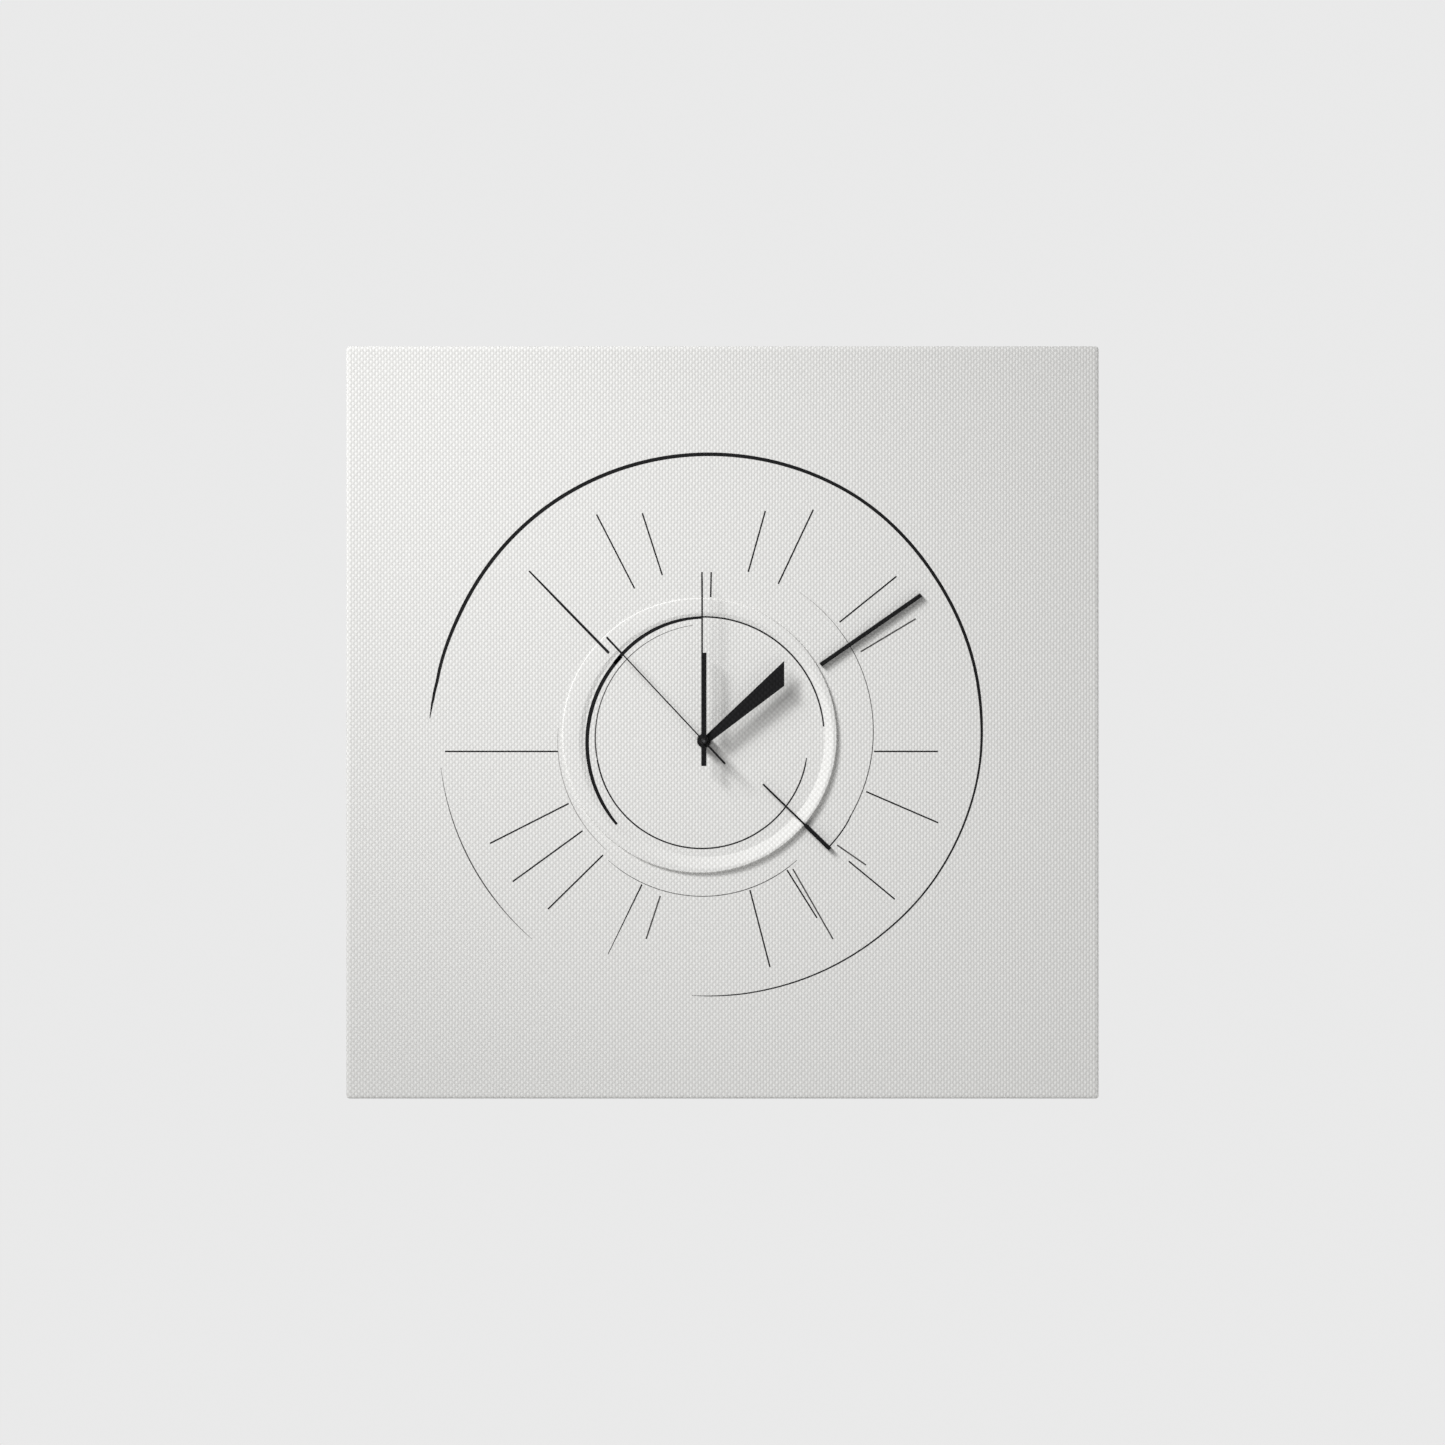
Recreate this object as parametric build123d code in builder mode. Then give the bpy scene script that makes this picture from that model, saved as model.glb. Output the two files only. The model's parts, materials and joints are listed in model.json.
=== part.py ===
from build123d import *
import os
from math import acos, atan2, cos, hypot, pi, radians, degrees, sin, sqrt, tan

# Square canvas wall clock. A printed canvas is stretched over a panel on a pine stretcher frame. Its face
# carries a bevelled relief ring, two raised battens and three hands on one axis, off the panel's centre.
# Behind the panel sits a one-cell quartz movement with its motor and its whole gear train.
#
# Row frame, in millimetres: +Z up, the viewer stands on the -Y side, the wall is the plane Y = 0, and the
# origin is the point where the hanger rests on its nail. Heights are measured from the wall to the viewer.

# ---- driving dimensions -------------------------------------------------------------------------------
CANVAS_SIDE = 406.4                 # 16 in square
CANVAS_T = 0.6
FOLD_W = 26.0                       # width of canvas turned over onto the back
BUMPER_T = 3.0
BAR_W, BAR_D = 38.0, 24.8           # stretcher bar section
EDGE_R, CORNER_R = 3.0, 1.2         # rounding of the panel's front edge and of the frame's corners
BOARD_T = 6.0
HANG_DROP = 22.0                    # nail below the clock's top edge
DIAL_SHIFT = 10.0                   # the hands' axis is this far left of and below the panel's centre

FRAME_SIDE = CANVAS_SIDE - 2 * CANVAS_T
H_FOLD = BUMPER_T
H_BAR = H_FOLD + CANVAS_T
H_BOARD = H_BAR + BAR_D
H_CANVAS = H_BOARD + BOARD_T
H_FACE = H_CANVAS + CANVAS_T
CENTRE_Z = HANG_DROP - CANVAS_SIDE / 2
DIAL_X, DIAL_Z = -DIAL_SHIFT, CENTRE_Z - DIAL_SHIFT

CASE_SIDE, CASE_WALL = 56.0, 1.2
CASE_D, PLATE_T, GASKET_T = 14.4, 1.2, 0.8
CASE_BACK = H_BOARD - GASKET_T - PLATE_T - CASE_D
BUSH_R, BUSH_TOP = 3.5, H_FACE + 5.2
ARBOR_R, MINUTE_PIPE_R, HOUR_PIPE_R = 0.5, 1.6, 2.5
RUNNING = 0.1                       # radial gap between pipes
PIVOT_GAP = 0.05                    # radial gap of a pivot or a stud in its hole

HOUR_H, MINUTE_H, SECOND_H = H_FACE + 8.0, H_FACE + 10.4, H_FACE + 13.0
HAND_T = 0.5

TO_VIEWER = (0, -1, 0)

os.makedirs("parts", exist_ok=True)


def panel(height):
    """Plane on the panel's centre, this far from the wall: x right, y up, z to the viewer."""
    return Plane(origin=(0, -height, CENTRE_Z), x_dir=(1, 0, 0), z_dir=(0, -1, 0))


def dial(height, x=0.0, y=0.0):
    """Plane on the hands' axis, moved by x and y, this far from the wall."""
    return Plane(origin=(DIAL_X + x, -height, DIAL_Z + y), x_dir=(1, 0, 0), z_dir=(0, -1, 0))


def works(depth, x=0.0, y=0.0):
    """Plane on the hands' axis, moved by x and y, this far in from the back of the movement's case."""
    return dial(CASE_BACK + depth, x, y)


def turned(plane, angle):
    """The plane turned in itself by an angle in degrees, anticlockwise as the viewer sees it."""
    return Plane(plane.location * Location((0, 0, 0), (0, 0, angle)))


def save(builder, name):
    builder.part.label = name
    export_step(builder.part, f"parts/{name}.step")


# ---- stretcher frame ----------------------------------------------------------------------------------
def stretcher_bar(turn):
    """One mitred bar: the top one, turned about the panel's centre."""
    half = FRAME_SIDE / 2
    with BuildPart() as bar:
        with BuildSketch(turned(panel(H_BAR), turn)):
            with BuildLine():
                Polyline((-half, half), (half, half), (half - BAR_W, half - BAR_W),
                         (-half + BAR_W, half - BAR_W), close=True)
            make_face()
            RectangleRounded(FRAME_SIDE, FRAME_SIDE, CORNER_R, mode=Mode.INTERSECT)
        extrude(amount=BAR_D)
    return bar


for name, turn in (("top", 0), ("left", 90), ("bottom", 180), ("right", 270)):
    save(stretcher_bar(turn), f"stretcher_bar_{name}")

BRACE_LEG, BRACE_T, SCREW_R, SCREW_HEAD_R = 62.0, 4.0, 1.5, 3.0
BRACE_H = 14.0                      # the brace's back face, set in from the back of the bars
INNER_HALF = FRAME_SIDE / 2 - BAR_W
QUARTER_TURNS = (0, 90, 180, 270)

with BuildPart() as corner_braces:  # plywood triangles glued into the inner corners
    for turn in QUARTER_TURNS:
        with BuildSketch(turned(panel(BRACE_H), turn)):
            with BuildLine():
                Polyline((INNER_HALF, INNER_HALF), (INNER_HALF - BRACE_LEG, INNER_HALF),
                         (INNER_HALF, INNER_HALF - BRACE_LEG), close=True)
            make_face()
        extrude(amount=BRACE_T)
save(corner_braces, "corner_braces")

GLUE_BLOCK = 12.0
with BuildPart() as glue_blocks:    # square pine blocks that hold each brace off the panel
    for turn in QUARTER_TURNS:
        with BuildSketch(turned(panel(BRACE_H + BRACE_T), turn)):
            with Locations((INNER_HALF - GLUE_BLOCK / 2, INNER_HALF - GLUE_BLOCK / 2)):
                Rectangle(GLUE_BLOCK, GLUE_BLOCK)
        extrude(amount=H_BOARD - BRACE_H - BRACE_T)
save(glue_blocks, "glue_blocks")

# ---- panel, canvas and what holds them ----------------------------------------------------------------
NUT_AF, NUT_T, WASHER_R, WASHER_T = 10.0, 2.4, 7.5, 0.8
COUNTERBORE_R, COUNTERBORE_D = 8.5, 3.6
NUT_SEAT = H_CANVAS - COUNTERBORE_D

with BuildPart() as dial_board:
    with BuildSketch(panel(H_BOARD)):
        RectangleRounded(FRAME_SIDE, FRAME_SIDE, CORNER_R)
    extrude(amount=BOARD_T)
    fillet(dial_board.faces().sort_by(Axis.Y)[0].edges(), EDGE_R)
    with BuildSketch(dial(H_BOARD)):
        Circle(BUSH_R + 0.2)
    extrude(amount=BOARD_T, mode=Mode.SUBTRACT)
    with BuildSketch(dial(NUT_SEAT)):
        Circle(COUNTERBORE_R)
    extrude(amount=COUNTERBORE_D, mode=Mode.SUBTRACT)
save(dial_board, "dial_board")

with BuildPart() as wrapped_core:   # what the canvas is stretched over
    with BuildSketch(panel(H_BAR)):
        RectangleRounded(FRAME_SIDE, FRAME_SIDE, CORNER_R)
    extrude(amount=H_CANVAS - H_BAR)
    fillet(wrapped_core.faces().sort_by(Axis.Y)[0].edges(), EDGE_R)

with BuildPart() as canvas_cover:
    with BuildSketch(panel(H_FOLD)):
        RectangleRounded(CANVAS_SIDE, CANVAS_SIDE, CORNER_R + CANVAS_T)
    extrude(amount=H_FACE - H_FOLD)
    fillet(canvas_cover.faces().sort_by(Axis.Y)[0].edges(), EDGE_R + CANVAS_T)
    add(wrapped_core.part, mode=Mode.SUBTRACT)
    with BuildSketch(panel(H_FOLD)):
        Rectangle(CANVAS_SIDE - 2 * FOLD_W, CANVAS_SIDE - 2 * FOLD_W)
    extrude(amount=CANVAS_T, mode=Mode.SUBTRACT)
    with BuildSketch(dial(H_CANVAS)):
        Circle(BUSH_R + 0.3)
    extrude(amount=CANVAS_T, mode=Mode.SUBTRACT)
save(canvas_cover, "canvas_cover")

STAPLES_A_SIDE, STAPLE_W, STAPLE_WIRE, STAPLE_LEG = 7, 11.0, 0.7, 6.0
STAPLE_PITCH, STAPLE_INSET = 52.0, 8.0

with BuildPart() as canvas_staples:
    for turn in QUARTER_TURNS:
        for row in range(STAPLES_A_SIDE):
            x = (row - (STAPLES_A_SIDE - 1) / 2) * STAPLE_PITCH + STAPLE_PITCH / 4
            y = CANVAS_SIDE / 2 - STAPLE_INSET
            side = turned(panel(H_FOLD - STAPLE_WIRE), turn)
            with BuildSketch(side):
                with Locations((x, y)):
                    Rectangle(STAPLE_W, STAPLE_WIRE * 1.6)
            extrude(amount=STAPLE_WIRE)
            with BuildSketch(side.offset(STAPLE_WIRE)):
                with Locations((x - STAPLE_W / 2 + STAPLE_WIRE / 2, y),
                               (x + STAPLE_W / 2 - STAPLE_WIRE / 2, y)):
                    Rectangle(STAPLE_WIRE, STAPLE_WIRE)
            extrude(amount=STAPLE_LEG)
save(canvas_staples, "canvas_staples")

BUMPER_R = 6.0
BUMPER_INSET = 19.0
with BuildPart() as wall_bumpers:   # soft discs on the lower corners, which hold the clock plumb
    with BuildSketch(panel(0)):
        with GridLocations(CANVAS_SIDE - 2 * BUMPER_INSET, 1, 2, 1):
            with Locations((0, BUMPER_INSET - CANVAS_SIDE / 2)):
                Circle(BUMPER_R)
    extrude(amount=BUMPER_T)
save(wall_bumpers, "wall_bumpers")

# ---- hanger -------------------------------------------------------------------------------------------
HANGER_L, HANGER_H, HANGER_T, HANGER_ARCH = 46.0, 9.0, 0.8, 1.3
HANGER_FOOT = 9.0                   # flat foot at each end, which the nails go through
TEETH, TOOTH_PITCH, TOOTH_H = 7, 3.2, 1.3
NAIL_R, NAIL_HEAD_R, NAIL_HEAD_T, NAIL_L = 0.7, 1.7, 0.4, 9.0

with BuildPart() as sawtooth_hanger:
    arch_back = H_FOLD - HANGER_T - HANGER_ARCH
    hanger_mid = HANGER_L / 2 - HANGER_FOOT
    with BuildSketch(Plane.XY.offset(TOOTH_H)):   # the bent strip seen from above, from tooth root to top edge
        with BuildLine():
            foot_back, ramp = -(H_FOLD - HANGER_T), 2.0
            Polyline((-HANGER_L / 2, foot_back), (-hanger_mid - ramp, foot_back), (-hanger_mid, -arch_back),
                     (hanger_mid, -arch_back), (hanger_mid + ramp, foot_back), (HANGER_L / 2, foot_back),
                     (HANGER_L / 2, -H_FOLD), (hanger_mid + ramp, -H_FOLD),
                     (hanger_mid, -arch_back - HANGER_T), (-hanger_mid, -arch_back - HANGER_T),
                     (-hanger_mid - ramp, -H_FOLD), (-HANGER_L / 2, -H_FOLD), close=True)
        make_face()
    extrude(amount=HANGER_H - TOOTH_H)
    with BuildSketch(Plane(origin=(0, -arch_back, 0), x_dir=(1, 0, 0), z_dir=(0, -1, 0))):
        for tooth in range(TEETH + 1):
            middle = (tooth - TEETH / 2) * TOOTH_PITCH
            with BuildLine():
                Polyline((middle - TOOTH_PITCH / 2, TOOTH_H), (middle, 0 - TOOTH_H / 2),
                         (middle + TOOTH_PITCH / 2, TOOTH_H), close=True)
            make_face()
    extrude(amount=HANGER_T)
    with BuildSketch(Plane(origin=(0, 0, HANGER_H / 2), x_dir=(1, 0, 0), z_dir=(0, -1, 0))):
        with GridLocations(HANGER_L - HANGER_FOOT, 1, 2, 1):
            Circle(NAIL_R)
    extrude(amount=H_FOLD + 1, mode=Mode.SUBTRACT)
save(sawtooth_hanger, "sawtooth_hanger")

with BuildPart() as hanger_nails:
    nail_back = H_FOLD - HANGER_T - NAIL_HEAD_T
    for height, radius, length in ((nail_back, NAIL_HEAD_R, NAIL_HEAD_T),
                                   (nail_back + NAIL_HEAD_T, NAIL_R, NAIL_L)):
        with BuildSketch(Plane(origin=(0, -height, HANGER_H / 2), x_dir=(1, 0, 0), z_dir=(0, -1, 0))):
            with GridLocations(HANGER_L - HANGER_FOOT, 1, 2, 1):
                Circle(radius)
        extrude(amount=length)
save(hanger_nails, "hanger_nails")

# ---- relief on the face -------------------------------------------------------------------------------
RING_T = 2.5                        # the lip's height at the lower right
RING_T_LEFT = 0.6                   # and at the upper left, where it sinks into the face
RING_R, RING_AT = 73.1, (-1.6, 2.2)                 # the lip's outer edge, from the hands' axis
RING_FLARE = 0.8                    # the foot's shift to the upper left, which bevels that side
DISH_R, DISH_AT, LIP_W = 64.8, (0.4, 2.3), 1.2      # the dish starts here and rises to the lip

with BuildPart() as relief_ring:
    with BuildSketch(dial(H_FACE, RING_AT[0] - RING_FLARE, RING_AT[1] + RING_FLARE)):
        Circle(RING_R + RING_FLARE * sqrt(2))
    with BuildSketch(dial(H_FACE + RING_T, *RING_AT)):
        Circle(RING_R)
    loft()
    with BuildSketch(dial(H_FACE, *DISH_AT)):
        Circle(DISH_R)
    with BuildSketch(dial(H_FACE + RING_T, *RING_AT)):
        Circle(RING_R - LIP_W)
    loft(mode=Mode.SUBTRACT)
    slope = (RING_T - RING_T_LEFT) / (2 * RING_R * sqrt(2))
    lip_plane = Plane(origin=(DIAL_X, -H_FACE - (RING_T + RING_T_LEFT) / 2, DIAL_Z), z_dir=(-slope, -1, slope))
    split(bisect_by=lip_plane, keep=Keep.BOTTOM)
save(relief_ring, "relief_ring")

BATTEN_T = 3.0
TWO_FROM, TWO_TO = (62.9, 41.1), (117.1, 78.8)      # the batten beside two o'clock, from the hands' axis
TWO_W = 2.3
FOUR_FROM, FOUR_STEP, FOUR_TO = (31.8, -23.2), (54.6, -45.3), (68.0, -58.3)
FOUR_THIN, FOUR_THICK = 1.0, 2.2
FOUR_BRIDGE_T = 1.0


def bar_plane(height, start, end):
    """Plane on the middle of a bar on the face, with x along it."""
    middle_x, middle_y = (start[0] + end[0]) / 2, (start[1] + end[1]) / 2
    turn = degrees(atan2(end[1] - start[1], end[0] - start[0]))
    return turned(dial(height, middle_x, middle_y), turn)


def span(start, end):
    return hypot(end[0] - start[0], end[1] - start[1])


with BuildPart() as two_batten:
    with BuildSketch(bar_plane(H_FACE, TWO_FROM, TWO_TO)):
        Rectangle(span(TWO_FROM, TWO_TO), TWO_W)
    extrude(amount=BATTEN_T)
    chamfer(two_batten.faces().sort_by(Axis.Y)[0].edges(), 0.3)
save(two_batten, "two_batten")

with BuildPart() as four_batten:    # a thin bridge over the ring, and a thick end outside it
    with BuildSketch(bar_plane(H_FACE + RING_T, FOUR_FROM, FOUR_TO)):
        Rectangle(span(FOUR_FROM, FOUR_TO), FOUR_THIN)
    extrude(amount=FOUR_BRIDGE_T)
    with BuildSketch(bar_plane(H_FACE, FOUR_STEP, FOUR_TO)):
        Rectangle(span(FOUR_STEP, FOUR_TO), FOUR_THICK)
    extrude(amount=RING_T + FOUR_BRIDGE_T)
save(four_batten, "four_batten")

# ---- clamping of the movement -------------------------------------------------------------------------
GASKET_R = 10.0
with BuildPart() as rubber_gasket:
    with BuildSketch(dial(H_BOARD - GASKET_T)):
        Circle(GASKET_R)
        Circle(BUSH_R, mode=Mode.SUBTRACT)
    extrude(amount=GASKET_T)
save(rubber_gasket, "rubber_gasket")

with BuildPart() as clamp_washer:
    with BuildSketch(dial(NUT_SEAT)):
        Circle(WASHER_R)
        Circle(BUSH_R, mode=Mode.SUBTRACT)
    extrude(amount=WASHER_T)
save(clamp_washer, "clamp_washer")

with BuildPart() as clamp_nut:
    with BuildSketch(dial(NUT_SEAT + WASHER_T)):
        RegularPolygon(NUT_AF / 2, 6, major_radius=False)
        Circle(BUSH_R, mode=Mode.SUBTRACT)
    extrude(amount=NUT_T)
save(clamp_nut, "clamp_nut")

BUSH_FLANGE_R, BUSH_FLANGE_T = 6.0, 0.45
with BuildPart() as centre_bush:
    with BuildSketch(works(CASE_D - BUSH_FLANGE_T)):
        Circle(BUSH_FLANGE_R)
    extrude(amount=BUSH_FLANGE_T)
    with BuildSketch(works(CASE_D)):
        Circle(BUSH_R)
    extrude(amount=BUSH_TOP - CASE_BACK - CASE_D)
    chamfer(centre_bush.faces().sort_by(Axis.Y)[0].edges(), 0.4)
    with BuildSketch(works(CASE_D - BUSH_FLANGE_T)):
        Circle(HOUR_PIPE_R + RUNNING)
    extrude(amount=BUSH_TOP - CASE_BACK, mode=Mode.SUBTRACT)
save(centre_bush, "centre_bush")

# ---- gear train: teeth, modules and places ------------------------------------------------------------
# Rotor 10 : step wheel 50, step pinion 8 : second wheel 48, second pinion 8 : third wheel 60,
# third pinion 8 : centre wheel 64, cannon pinion 12 : minute wheel 36, minute pinion 10 : hour wheel 40.
# The setting gear, 18, meshes with the minute wheel.
PRESSURE = radians(30)
ADDENDUM, DEDENDUM, TOOTH_THIN = 0.8, 1.1, 0.05     # in modules, and mm taken off each tooth's width
THIRD_GAP, MINUTE_GAP, STEP_GAP, ROTOR_GAP = 10.2, 9.0, 8.4, 6.6    # distances between axes


def module(gap, teeth_a, teeth_b):
    return 2 * gap / (teeth_a + teeth_b)


M_SECOND_THIRD = module(THIRD_GAP, 8, 60)
M_THIRD_CENTRE = module(THIRD_GAP, 8, 64)
M_CANNON = module(MINUTE_GAP, 12, 36)
M_HOUR = module(MINUTE_GAP, 10, 40)
M_STEP_SECOND = module(STEP_GAP, 8, 48)
M_ROTOR = module(ROTOR_GAP, 10, 50)
SETTING_GAP = M_CANNON * (36 + 18) / 2

THIRD_AT, MINUTE_AT, STEP_AT, ROTOR_AT, SETTING_AT = radians(150), radians(30), radians(60), radians(90), 0.0


def beside(origin, gap, angle):
    return (origin[0] + gap * cos(angle), origin[1] + gap * sin(angle))


MAIN = (0.0, 0.0)
THIRD = beside(MAIN, THIRD_GAP, THIRD_AT)
MINUTE = beside(MAIN, MINUTE_GAP, MINUTE_AT)
STEP = beside(MAIN, STEP_GAP, STEP_AT)
ROTOR = beside(STEP, ROTOR_GAP, ROTOR_AT)
SETTING = beside(MINUTE, SETTING_GAP, SETTING_AT)


def in_mesh(angle, teeth_a, phase_a, teeth_b):
    """Phase of gear b that puts its gap on gear a's tooth, where b lies at angle from a."""
    return angle + pi - (2 * pi / teeth_b) * (0.5 - (angle - phase_a) * teeth_a / (2 * pi))


THIRD_WHEEL_PHASE = in_mesh(THIRD_AT, 8, 0.0, 60)
THIRD_PINION_PHASE = in_mesh(THIRD_AT, 64, 0.0, 8)
MINUTE_WHEEL_PHASE = in_mesh(MINUTE_AT, 12, 0.0, 36)
HOUR_WHEEL_PHASE = in_mesh(MINUTE_AT + pi, 10, 0.0, 40)
STEP_PINION_PHASE = in_mesh(STEP_AT, 48, 0.0, 8)
ROTOR_PINION_PHASE = in_mesh(ROTOR_AT, 50, 0.0, 10)
SETTING_PHASE = in_mesh(SETTING_AT, 36, MINUTE_WHEEL_PHASE, 18)


def gear_outline(teeth, m, phase):
    """Edges of an involute gear with one tooth centred on phase."""
    pitch = teeth * m / 2
    base, tip, root = pitch * cos(PRESSURE), pitch + ADDENDUM * m, pitch - DEDENDUM * m

    def half_width(radius):
        """Half a tooth's angle at a radius."""
        at_pitch = pi / (2 * teeth) - TOOTH_THIN / (2 * pitch)
        roll = acos(min(1.0, base / radius))
        return at_pitch + (tan(PRESSURE) - PRESSURE) - (tan(roll) - roll)

    def at(radius, angle):
        return (radius * cos(angle), radius * sin(angle))

    foot = max(base, root)
    middle = (foot + tip) / 2
    step = 2 * pi / teeth
    with BuildLine() as outline:
        for tooth in range(teeth):
            axis = phase + tooth * step
            left, right = -half_width(foot), half_width(foot)
            if root < foot - 1e-3:
                Line(at(root, axis + left), at(foot, axis + left))
            ThreePointArc(at(foot, axis + left), at(middle, axis - half_width(middle)),
                          at(tip, axis - half_width(tip)))
            Line(at(tip, axis - half_width(tip)), at(tip, axis + half_width(tip)))
            ThreePointArc(at(tip, axis + half_width(tip)), at(middle, axis + half_width(middle)),
                          at(foot, axis + right))
            start = min(root, foot)
            if root < foot - 1e-3:
                Line(at(foot, axis + right), at(root, axis + right))
            Line(at(start, axis + right), at(start, axis + step + left))
    return outline.edges()


def gear_layer(low, high, place, teeth, m, phase, bore):
    """A toothed disc with a bore, as one layer of the part being built."""
    with BuildSketch(works(low, *place)) as layer:
        make_face(gear_outline(teeth, m, phase))
        Circle(bore, mode=Mode.SUBTRACT)
    extrude(layer.sketch, amount=high - low, dir=TO_VIEWER)


def tube(plane, length, radius, bore=0.0):
    """A round layer, hollow if it has a bore."""
    with BuildSketch(plane) as layer:
        Circle(radius)
        if bore:
            Circle(bore, mode=Mode.SUBTRACT)
    extrude(layer.sketch, amount=length, dir=plane.z_dir)


def lighten(low, high, place, inner, outer, spokes=4):
    """Round windows through a wheel's web."""
    middle, radius = (inner + outer) / 2, (outer - inner) / 2
    with BuildSketch(works(low, *place)) as windows:
        with PolarLocations(middle, spokes, 45):
            Circle(radius)
    extrude(windows.sketch, amount=high - low, dir=TO_VIEWER, mode=Mode.SUBTRACT)


FLOOR = CASE_WALL
STUD_R = 0.5
PIVOT_DEPTH = 0.8

with BuildPart() as rotor_magnet:
    tube(works(5.8, *ROTOR), 3.0, 3.0, 1.1)
save(rotor_magnet, "rotor_magnet")

with BuildPart() as rotor_pinion:
    gear_layer(1.8, 3.4, ROTOR, 10, M_ROTOR, ROTOR_PINION_PHASE, STUD_R + PIVOT_GAP)
    tube(works(3.4, *ROTOR), 5.4, 1.1, STUD_R + PIVOT_GAP)
save(rotor_pinion, "rotor_pinion")

with BuildPart() as step_wheel:
    gear_layer(2.0, 2.8, STEP, 50, M_ROTOR, 0.0, STUD_R + PIVOT_GAP)
    tube(works(2.8, *STEP), 0.4, 1.2, STUD_R + PIVOT_GAP)
    gear_layer(3.2, 5.0, STEP, 8, M_STEP_SECOND, STEP_PINION_PHASE, STUD_R + PIVOT_GAP)
    lighten(2.0, 2.8, STEP, 1.9, 4.7)
save(step_wheel, "step_wheel")

SECOND_TOP = SECOND_H + 0.6
with BuildPart() as second_wheel:
    tube(dial(CASE_BACK + FLOOR - PIVOT_DEPTH), SECOND_TOP - CASE_BACK - FLOOR + PIVOT_DEPTH, ARBOR_R)
    gear_layer(3.6, 4.6, MAIN, 48, M_STEP_SECOND, 0.0, ARBOR_R)
    tube(works(4.6), 0.4, 1.4, ARBOR_R)
    gear_layer(5.0, 6.9, MAIN, 8, M_SECOND_THIRD, 0.0, ARBOR_R)
    lighten(3.6, 4.6, MAIN, 2.2, 6.2)
save(second_wheel, "second_wheel")

THIRD_PIVOT_R = 0.4
with BuildPart() as third_wheel:
    tube(works(FLOOR - PIVOT_DEPTH, *THIRD), CASE_D - FLOOR + 2 * PIVOT_DEPTH - 0.1, THIRD_PIVOT_R)
    gear_layer(5.4, 6.4, THIRD, 60, M_SECOND_THIRD, THIRD_WHEEL_PHASE, THIRD_PIVOT_R)
    tube(works(6.4, *THIRD), 0.6, 1.3, THIRD_PIVOT_R)
    gear_layer(7.0, 9.2, THIRD, 8, M_THIRD_CENTRE, THIRD_PINION_PHASE, THIRD_PIVOT_R)
    lighten(5.4, 6.4, THIRD, 2.4, 7.8, 5)
save(third_wheel, "third_wheel")

with BuildPart() as centre_wheel:
    gear_layer(7.6, 8.6, MAIN, 64, M_THIRD_CENTRE, 0.0, MINUTE_PIPE_R)
    lighten(7.6, 8.6, MAIN, 2.8, 7.8, 5)
save(centre_wheel, "centre_wheel")

MINUTE_TOP = MINUTE_H + 1.2
with BuildPart() as cannon_pinion:
    tube(works(7.2), MINUTE_TOP - CASE_BACK - 7.2, MINUTE_PIPE_R, ARBOR_R + RUNNING)
    gear_layer(9.2, 11.4, MAIN, 12, M_CANNON, 0.0, MINUTE_PIPE_R)
save(cannon_pinion, "cannon_pinion")

MINUTE_STUD_R = 0.6
with BuildPart() as minute_wheel:
    gear_layer(9.8, 11.0, MINUTE, 36, M_CANNON, MINUTE_WHEEL_PHASE, MINUTE_STUD_R + PIVOT_GAP)
    gear_layer(11.0, 13.8, MINUTE, 10, M_HOUR, 0.0, MINUTE_STUD_R + PIVOT_GAP)
    lighten(9.8, 11.0, MINUTE, 2.4, 5.6)
save(minute_wheel, "minute_wheel")

HOUR_TOP = HOUR_H + 1.0
with BuildPart() as hour_wheel:
    tube(works(12.4), HOUR_TOP - CASE_BACK - 12.4, HOUR_PIPE_R, MINUTE_PIPE_R + RUNNING)
    gear_layer(12.6, 13.8, MAIN, 40, M_HOUR, HOUR_WHEEL_PHASE, HOUR_PIPE_R)
    lighten(12.6, 13.8, MAIN, 3.4, 6.2, 6)
save(hour_wheel, "hour_wheel")

# ---- setting knob -------------------------------------------------------------------------------------
KNOB_R, KNOB_T, KNOB_RIBS, SETTING_SHAFT_R, NOSE_R = 6.5, 3.0, 24, 2.0, 0.8

with BuildPart() as setting_knob:
    tube(works(-0.3 - KNOB_T, *SETTING), KNOB_T, KNOB_R)
    with BuildSketch(works(-0.3 - KNOB_T, *SETTING)):
        with PolarLocations(KNOB_R + 0.25, KNOB_RIBS):
            Circle(0.55)
    extrude(amount=KNOB_T, mode=Mode.SUBTRACT)
    tube(works(-0.3, *SETTING), 11.1, SETTING_SHAFT_R)
    tube(works(10.8, *SETTING), 2.2, NOSE_R)
save(setting_knob, "setting_knob")

with BuildPart() as setting_gear:
    gear_layer(9.8, 10.8, SETTING, 18, M_CANNON, SETTING_PHASE, SETTING_SHAFT_R)
save(setting_gear, "setting_gear")

# ---- movement case ------------------------------------------------------------------------------------
CHAMBER_LOW, BAY_LOW, BAY_HIGH = -10.6, -26.9, -11.7    # above and below the hands' axis
INSIDE = CASE_SIDE / 2 - CASE_WALL
BAY_MIDDLE, BAY_W = (BAY_LOW + BAY_HIGH) / 2, BAY_HIGH - BAY_LOW
BOSSES = ((-24.0, 24.0), (24.0, 24.0), (24.0, -7.8), (-24.0, -7.8))
BOSS_R, BOSS_HOLE_R, CASE_SCREW_HEAD_R, CASE_SCREW_HEAD_T, CASE_SCREW_L = 2.4, 0.8, 1.7, 0.7, 8.0
STATOR_POSTS = ((ROTOR[0] - 10.5, ROTOR[1] + 3.6), (ROTOR[0] + 10.5, ROTOR[1] + 3.6))
STATOR_LOW, STATOR_T = 6.9, 0.8
CONTACT_T, CONTACT_TAB = 0.3, (5.0, 5.5)            # strip thickness, and the tab's low edge and width
BOARD_POSTS = ((-19.6, 24.4), (-12.0, 24.4), (-23.5, 17.8))
CIRCUIT_LOW, CIRCUIT_T = 2.2, 1.0

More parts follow.
